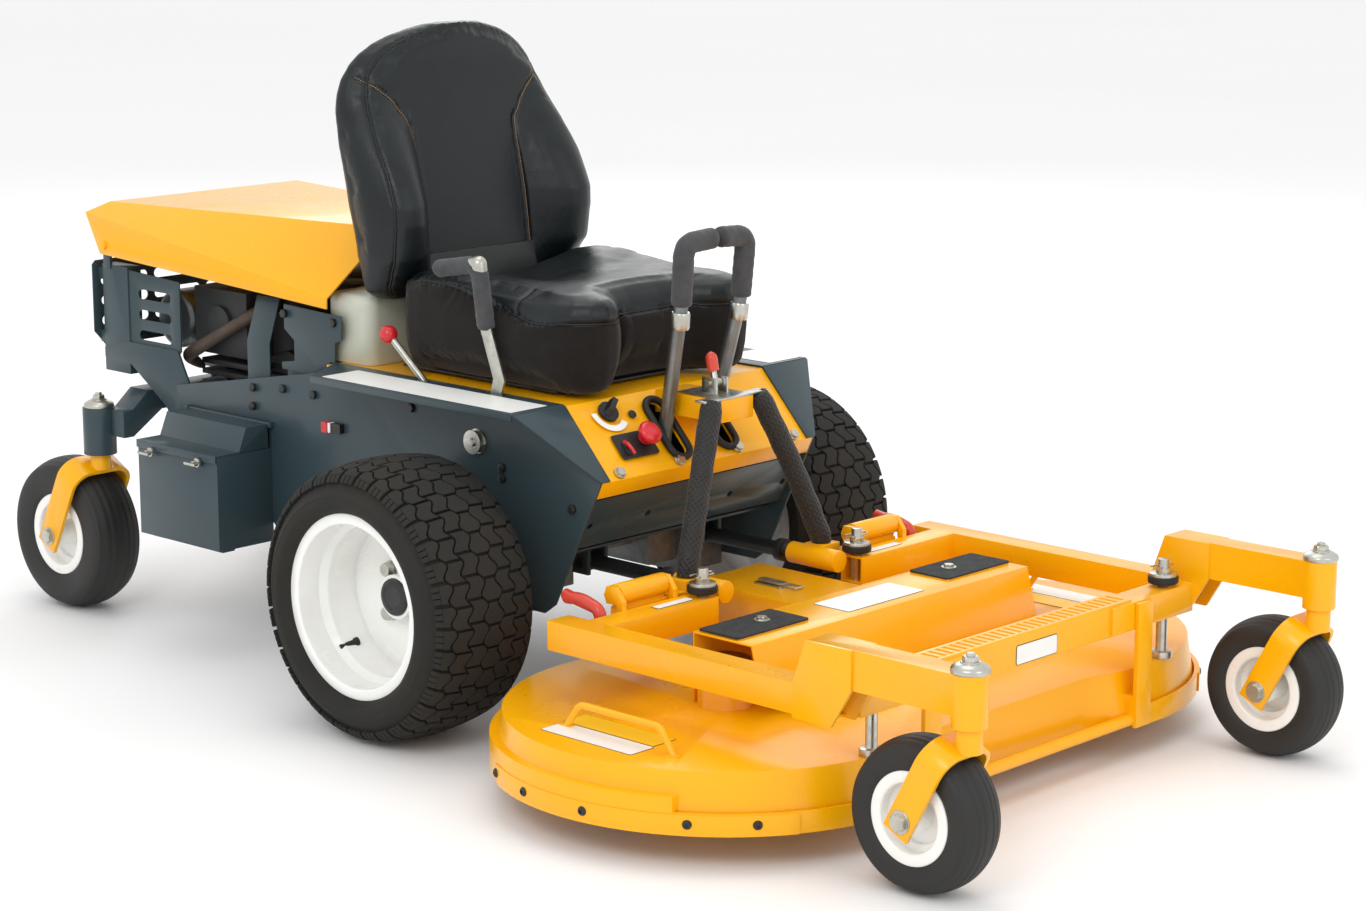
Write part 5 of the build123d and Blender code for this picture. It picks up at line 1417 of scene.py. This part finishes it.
@dataclass
class RunningGear:
    """Hub caps, nuts, valves and swivel caps."""

    disc: float = 461.0
    axle_z: float = 252.0
    lug_radius: float = 57.15

    def drive_wheel(self, name: str, side: int) -> None:
        """Dress one drive wheel."""
        body = f"drive_wheel_{name}"
        face = (side * (self.disc + 2.5), 0, self.axle_z)
        cap = lathe(
            body + "_hub_cap",
            [
                (0, 0), (0, 38), (2.5, 38), (3.5, 35), (28, 34.6), (33, 33), (36.5, 28), (37, 22), (35.5, 20),
                (35.5, 0),
            ],
            face, (side, 0, 0), 64,
        )
        dress(cap, BLACK, body)
        turn = math.radians(45)
        foot = (0, self.lug_radius * math.cos(turn), self.lug_radius * math.sin(turn))
        nut = hexagon(body + "_nut", foot, (side, 0, 0), 13.5, 17.5, 15.0)
        nuts = repeated(
            body + "_nuts", Repeat.WHEEL, ZINC, {"Piece": nut, "Count": 4, "Centre": Vector(face) * MM}, 25,
        )
        dress(nuts, ZINC, body)
        valve = lathe(body + "_valve", [(0, 0), (0, 8.5), (6, 8), (9, 5.6), (26, 5.2), (27, 4.6), (38, 4.6), (39, 3.5), (39, 0)],
                      (side * (self.disc + 38), 96, self.axle_z - 98), (side, 0.1, -0.1), 24)
        dress(valve, RUBBER, body)

    def swivel(self, name: str, body: str, place: Point) -> None:
        """Dust cap and nut on top of a swivel barrel."""
        x, y, z = place
        cap = lathe(
            name + "_dust_cap",
            [(-2, 0), (-2, 29), (0, 30.5), (5, 30.5), (8, 29), (12.5, 21), (14.5, 15), (14.5, 0)], (x, y, z),
            (0, 0, 1), 64,
        )
        nut = hexagon(name + "_cap_nut", (x, y, z + 14), (0, 0, 1), 13.0, 10.0, 16.0)
        tip = lathe(
            name + "_stem_tip", [(0, 0), (0, 7), (6, 7), (7, 6), (7, 0)], (x, y, z + 22), (0, 0, 1), 24,
        )
        dress(joined(name + "_swivel_cap", [cap, nut, tip]), ZINC, body)

    def axle(self, name: str, body: str, centre: Point, outer: float) -> None:
        """Bolt head and nut at the ends of a small wheel's axle."""
        x, y, z = centre
        ends = [hexagon(f"{name}_end_{end}", (x + end * outer, y, z), (end, 0, 0), 15.0, 9.5, 19.0) for end in (-1, 1)]
        dress(joined(name + "_axle_bolt", ends), ZINC, body)

    def build(self) -> None:
        """Dress all six wheels."""
        for name, side in SIDES.items():
            self.drive_wheel(name, side)
            self.swivel(f"caster_{name}", f"caster_fork_{name}", (side * 484, -1285, 364))
            self.swivel(f"tail_{name}", f"tail_fork_{name}", (side * 330, 1081, 430))
            self.axle(f"caster_{name}", f"caster_fork_{name}", (side * 484, -1204, 124), 61.5)
            self.axle(f"tail_{name}", f"tail_fork_{name}", (side * 330, 1171, 157), 72.0)


def plate(
    name: str, body: str, centre: Point, across: Point, up: Point, width: float, height: float,
    finish: Finish = VINYL,
) -> None:
    """Blank plate with a thin dark border, lying on a surface.

    Args:
        name: the piece's name.
        body: the body it rides on.
        centre: its middle, on the surface.
        across: direction of its width.
        up: direction of its height; across x up points away from the surface.
        width: in millimetres.
        height: in millimetres.
        finish: colour of the field.
    """
    border = slab(name + "_border", rounded(width, height, min(4.0, height / 4)), centre, across, up, 0.5)
    border.data.materials.append(VINYL_DARK.material())
    face = slab(
        name + "_field", rounded(width - 2.4, height - 2.4, min(3.0, height / 5)), centre, across, up, 0.8,
    )
    face.data.materials.append(finish.material())
    dress(joined(name, [border, face]), finish, body)


@dataclass
class Panel:
    """Slanted control panel with its switches, scales and slot bezels."""

    body: str = "chassis"
    top_y: float = -197.0
    top_z: float = 590.0
    low_y: float = -309.0
    low_z: float = 470.0
    sheet: float = 4.0

    def directions(self) -> tuple[Vector, Vector]:
        """Direction up the slope, and the direction out of the panel."""
        up = Vector((0, self.top_y - self.low_y, self.top_z - self.low_z)).normalized()
        return up, Vector((1, 0, 0)).cross(up)

    def at(self, x: float, drop: float, out: float = 0.0) -> Vector:
        """Point on the panel, drop below its top edge."""
        up, normal = self.directions()
        return Vector((x, self.top_y, self.top_z)) - up * drop + normal * (out + self.sheet)

    def oval(self, length: float, width: float) -> list[tuple[float, float]]:
        """Outline of a slot, long way up."""
        radius = width / 2
        run = length / 2 - radius
        points = []
        for start, y in ((0.0, run), (math.pi, -run)):
            for step in range(13):
                turn = start + math.pi * step / 12
                points.append((radius * math.cos(turn), y + radius * math.sin(turn)))
        return points

    def bezel(self, name: str, x: float) -> None:
        """Rubber bezel round one lever slot."""
        up, _ = self.directions()
        rim = [self.at(x, 85, 1.5) + Vector((px, 0, 0)) + up * py for px, py in self.oval(128, 46)]
        ring = bar(name, rim, 6.5, closed=True, sides=4)
        dress(ring, RUBBER, self.body)

    def build(self) -> None:
        """Build the panel's pieces."""
        up, normal = self.directions()
        for name, side in SIDES.items():
            self.bezel(f"lever_slot_bezel_{name}", side * 62)
        sweep_points = []
        for radius, turns in ((41, range(176, 317, 5)), (29, range(316, 175, -5))):
            for turn in turns:
                sweep_points.append((radius * math.cos(math.radians(turn)), radius * math.sin(math.radians(turn))))
        mark = slab("throttle_scale", sweep_points, self.at(-175, 30, 0.0), (1, 0, 0), up, 0.7)
        dress(mark, VINYL, self.body)
        back = slab("switch_plate", rounded(92, 52, 5), self.at(-158, 104, 0.0), (1, 0, 0), up, 0.9)
        dress(back, VINYL_DARK, self.body)
        cap = [
            (0, 0), (0, 13), (6, 13), (7, 11), (12, 10), (13, 20), (15, 22), (20, 23), (24, 22), (27, 19),
            (29, 12), (30, 0),
        ]
        foot = self.at(-133, 98, 0.5)
        dress(
            lathe("blade_switch_cap", cap, foot + normal * 3, tuple(normal), 48, 40), RED, "blade_switch",
        )
        dress(
            lathe(
                "plug_button", [(0, 0), (0, 8), (3, 8), (4, 6.5), (4, 0)], self.at(-124, 44), tuple(normal),
                24,
            ),
            PLASTIC, self.body,
        )
        toggle = sweep(
            "red_toggle",
            [self.at(-182, 96, 2), self.at(-184, 104, 9), self.at(-186, 118, 14), self.at(-187, 128, 15)],
            lambda share, turn: 4.2 - 1.2 * share, 16,
        )
        dress(toggle, RED, "key")
        for side in SIDES.values():
            for number, x in enumerate((77, 230)):
                bolt = hexagon(
                    f"flange_bolt_{number}_{'left' if side > 0 else 'right'}",
                    tuple(self.at(side * x, 152, -1.0)), tuple(normal), 9.5, 7.5, 11,
                )
                dress(bolt, ZINC, self.body)


@dataclass
class Levers:
    """Steering grips, parking grip, latch cap and hitch handles."""

    grip: float = 19.0
    ball: float = 17.0

    def foam(self, name: str, body: str, corners: Sequence[Point], radius: float, node: str | None) -> None:
        """Foam sleeve with rounded ends.

        Args:
            name: the piece's name.
            body: the body it rides on.
            corners: corners of its path.
            radius: its radius.
            node: CAD node it stands for, if any.
        """
        path = eased(corners, 26.0, 3.0)
        count = len(path)

        def size(share: float, turn: float) -> float:
            """Radius with rounded ends and slight hand wear."""
            near = min(share, 1 - share) * count * 3.0
            dome = math.sqrt(max(0.0, 1 - max(0.0, 1 - near / 8.0) ** 2))
            return radius * (0.35 + 0.65 * dome) + 0.35 * math.sin(share * 60) * math.sin(turn * 3)

        piece = sweep(name, path, size, 32)
        dress(piece, GRIP_FOAM, body, (node,) if node else ())

    def build(self) -> None:
        """Build the grips and handles."""
        for name, side in SIDES.items():
            corners = [(side * 78, -308, 758), (side * 81, -318, 872), (side * 5, -320, 876)]
            self.foam(
                f"steering_foam_{name}", f"steering_{name}", corners, self.grip, f"steering_grip_{name}",
            )
            collar = lathe(
                f"steering_collar_{name}", [(-34, 0), (-34, 15.5), (-30, 17), (-6, 17), (-3, 15.5), (-3, 0)],
                (side * 77.6, -307, 752), (side * 0.02, -0.08, 1), 40,
            )
            dress(collar, ZINC, f"steering_{name}")
            line = eased(
                [
                    (side * 415, -438, 268), (side * 415, -436, 292), (side * 415, -392, 304),
                    (side * 415, -350, 300),
                ],
                14, 3,
            )
            handle = sweep(
                f"hitch_grip_{name}", line, lambda share,
                turn: 11.0 * math.sqrt(max(0.05, 1 - max(0.0, (share - 0.93) / 0.07) ** 2)), 24,
            )
            dress(handle, RED_GRIP, f"hitch_handle_{name}")
        self.foam(
            "parking_foam", "parking_brake", [(-272.5, -12, 706), (-272.5, 7, 824), (-272.5, 118, 805)], 16.0,
            None,
        )
        along = Vector((0, 136, 108)).normalized()
        middle = (Vector((-272.5, 128, 569)) + Vector((-272.5, 244, 661))) / 2
        strip = slab(
            "choke_strip", rounded(146, 14, 5), tuple(middle + Vector((2, 0, 0))), tuple(along),
            tuple(Vector((-1, 0, 0)).cross(along)), 4.0,
        )
        dress(strip, ZINC, "choke")
        ball = []
        for degrees in range(-90, 91, 10):
            turn = math.radians(degrees)
            ball.append((self.ball * math.sin(turn), max(0.0, self.ball * math.cos(turn))))
        dress(
            lathe("choke_ball", ball, (-272.5, 254, 668), tuple(along), 32, 60), RED, "choke",
        )
        cap = sweep(
            "latch_cap", eased([(0, -314, 634), (0, -306, 668)], 1, 2), lambda share,
            turn: 11.5 * math.sqrt(max(0.03, 1 - max(0.0, (share - 0.6) / 0.4) ** 2)) * (0.9 + 0.1 * share),
            24,
        )
        dress(cap, RED_GRIP, "deck_latch")


@dataclass
class SpringSleeves:
    """Woven covers of the two counterbalance springs."""

    top: Point = (61.0, -367.0, 592.0)
    low: Point = (183.0, -419.0, 302.0)
    radius: float = 19.6

    def build(self) -> None:
        """Weave both tubes."""
        parts = []
        for name, side in SIDES.items():
            high = Vector((side * self.top[0], self.top[1], self.top[2]))
            low = Vector((side * self.low[0], self.low[1], self.low[2]))
            path = []
            for step in range(181):
                share = step / 180
                sag = math.sin(share * math.pi)
                path.append(high.lerp(low, share) + Vector((side * 4.0 * sag, -3.0 * sag, 0)))

            def size(share: float, turn: float) -> float:
                """Radius of the braid, drawn in at both ends."""
                ends = min(share, 1 - share)
                gather = 1.0 - 0.16 * max(0.0, 1 - ends / 0.05)
                pitch = share * 2 * math.pi * 13
                braid = max(math.sin(12 * turn + pitch * 2), math.sin(12 * turn - pitch * 2 + 1.0))
                return self.radius * gather + 0.7 * braid + 0.5 * math.sin(share * 37 + turn)

            parts.append(sweep(f"sleeve_{name}", path, size, 144, 80))
        piece = joined("spring_sleeve_weave", parts)
        piece.data.materials.clear()
        piece.data.materials.append(SLEEVE.material())
        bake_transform(piece)
        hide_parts("spring_sleeves")
        LOG.info("spring sleeves blend between chassis and hitch")


@dataclass
class DeckTrim:
    """Mats, pins, plates, bolts and the latch on the deck."""

    mat_z: float = 282.0
    rail_top: float = 286.5
    lobe: Point = (347, -662, 78)
    skirt_face: float = 396.5
    skirt_turns: tuple[int, ...] = (-28, -12, 8, 34, 50)

    def mats(self) -> None:
        """Non-slip mats and their bolts."""
        for name, side in SIDES.items():
            mat = slab(
                f"foot_mat_{name}", rounded(180, 90, 5), (side * 277, -664, self.mat_z - 1), (1, 0, 0),
                (0, 1, 0), 3.2,
            )
            dress(mat, MAT, "deck")
            dress(
                hexagon(f"mat_bolt_{name}", (side * 252, -659, self.mat_z + 2), (0, 0, 1), 9.5, 6.5, 14),
                ZINC, "deck",
            )

    def pins(self) -> None:
        """Rubber discs, washers and hairpins on the four hanger pins."""
        for name, side in SIDES.items():
            for row, (x, y) in (("rear", (207, -480)), ("front", (397, -1022.5))):
                place = (side * x, y, self.rail_top + 6.2)
                disc = lathe(
                    f"hanger_disc_{row}_{name}", [(0, 0), (0, 25.5), (2, 27), (11, 27), (13, 25.5), (13, 0)],
                    place, (0, 0, 1), 48,
                )
                dress(disc, RUBBER, "deck")
                top = (side * x, y, self.rail_top + 19.2)
                washer = lathe(
                    f"hanger_washer_{row}_{name}", [(0, 0), (0, 22), (2.6, 22), (3.2, 21), (3.2, 0)], top,
                    (0, 0, 1), 40,
                )
                collar = lathe(
                    f"hanger_collar_{row}_{name}", [(0, 0), (0, 13), (9, 13), (10, 12), (10, 0)],
                    (side * x, y, self.rail_top + 23), (0, 0, 1), 32,
                )
                z = 322.0
                loop = eased([(side * x - 20, y - 4, z), (side * x + 24, y - 4, z), (side * x + 34, y + 6, z), (side * x + 26, y + 16, z),
                              (side * x + 14, y + 12, z), (side * x, y + 13.5, z), (side * x - 16, y + 15, z)], 5, 2)
                clip = bar(f"hanger_clip_{row}_{name}", loop, 1.7, sides=3)
                dress(joined(f"hanger_lock_{row}_{name}", [washer, collar, clip]), ZINC, "deck")

    def latch(self) -> None:
        """Draw latch on the gear cover."""
        base = slab("draw_latch_base", rounded(34, 66, 4), (1, -459, 264), (1, 0, 0), (0, 1, 0), 2.5)
        arm = slab("draw_latch_arm", rounded(20, 58, 6), (1, -457, 268), (1, 0, 0), (0, 1, 0), 3.5)
        loop = bar(
            "draw_latch_loop", [(-9, -488, 268), (-9, -520, 268), (11, -520, 268), (11, -488, 268)], 2.2,
            sides=3,
        )
        dress(joined("draw_latch", [base, arm, loop]), ZINC, "deck")

    def skirt_bolts(self) -> None:
        """Dark screws on the bolted lower panels of both skirts."""
        for name, side in SIDES.items():
            heads = []
            for number, turn in enumerate(self.skirt_turns):
                way = Vector((side * math.cos(math.radians(turn)), -math.sin(math.radians(turn)), 0))
                foot = Vector((side * self.lobe[0], self.lobe[1], self.lobe[2])) + way * self.skirt_face
                button = lathe(
                    f"skirt_screw_{name}_{number}",
                    [(0, 0), (0, 8), (2, 7.6), (4.5, 5.5), (5, 3.2), (3, 3.0), (3, 0)], tuple(foot),
                    tuple(way), 20,
                )
                heads.append(button)
            dress(joined(f"skirt_screws_{name}", heads), BLACK, "deck")

    def build(self) -> None:
        """Build all of the trim."""
        self.mats()
        self.pins()
        self.latch()
        plate("cover_plate", "deck", (4, -680, 279.1), (1, 0, 0), (0, 1, 0), 205, 82)
        for name, side in SIDES.items():
            plate(
                f"lobe_plate_{name}", "deck", (side * 577, -640, 158.1), (1, 0, 0), (0, 1, 0), 56, 206,
                VINYL_YELLOW,
            )
            plate(f"lobe_row_{name}", "deck", (side * 634, -645, 158.1), (1, 0, 0), (0, 1, 0), 56, 206)
            plate(f"stub_plate_{name}", "carrier", (side * 282, -480, 286.6), (1, 0, 0), (0, 1, 0), 90, 20)
        plate("cross_plate", "carrier", (-2, -1048.2, 256), (1, 0, 0), (0, 0, 1), 112, 34)
        self.skirt_bolts()


@dataclass
class ChassisTrim:
    """Rollers, plates and fasteners on the chassis."""

    plate_out: float = 283.0
    strip_front: float = -188
    strip_long: float = 508
    strip_short: float = 120

    def build(self) -> None:
        """Build the rollers, the box latches and the fender plates."""
        for name, side in SIDES.items():
            foot = (side * self.plate_out, 4, 503)
            roller = lathe(
                f"side_roller_{name}",
                [
                    (-1, 0), (-1, 23), (2.5, 23), (2.5, 20), (13, 20), (13, 22), (15.5, 22), (15.5, 8),
                    (20, 8), (20, 0),
                ],
                foot, (side, 0, 0), 48,
            )
            dress(roller, ZINC, "chassis")
            length = self.strip_long if side < 0 else self.strip_short
            plate(
                f"fender_plate_{name}", "chassis", (
                    side * 337, self.strip_front + length / 2, 594.0,
                ), (1, 0, 0),
                (0, 1, 0), 92, length,
            )
        for part, y, wide, high, thick, finish in (
            ("red_end", 415, 16, 20, 15, RED), ("white_band", 403, 7, 19, 13, VINYL),
            ("body", 386, 26, 19, 11, BLACK),
        ):
            block = slab(
                "side_catch_" + part, rounded(wide, high, 2.5), (-283.4, y, 474), (0, -1, 0), (0, 0, 1),
                thick,
            )
            dress(block, finish, "chassis")
        for number, y in enumerate((640, 786)):
            knob = lathe(
                f"box_latch_{number}", [(0, 0), (0, 9), (4, 9), (5, 6), (14, 5), (15, 0)], (-424.5, y, 392),
                (-1, 0, 0), 24,
            )
            wing = slab(f"box_wing_{number}", rounded(5, 34, 2.4), (-437, y, 392), (0, 0, 1), (0, 1, 0), 9)
            dress(joined(f"box_wing_nut_{number}", [knob, wing]), ZINC, "battery_lid")


def main() -> None:
    """Load the frame and build every sub-assembly over it."""
    logging.basicConfig(level=logging.INFO, format="%(name)s %(message)s")
    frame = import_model()
    Metalwork().build()
    for name, side in SIDES.items():
        TurfTyre(f"drive_tyre_{name}", side, f"drive_wheel_{name}", (side * 486, 0, 252)).build()
        RibTyre(
            f"caster_tyre_{name}", side, f"caster_wheel_{name}", (side * 484, -1204, 124), 124, 93, 75, 10,
        ).build()
        RibTyre(
            f"tail_tyre_{name}", side, f"tail_wheel_{name}", (side * 330, 1171, 157), 157, 112, 84, 12,
        ).build()
    RunningGear().build()
    Panel().build()
    Levers().build()
    SpringSleeves().build()
    DeckTrim().build()
    ChassisTrim().build()
    Seat().build()
    Studio().build()


if __name__ == "__main__":
    main()
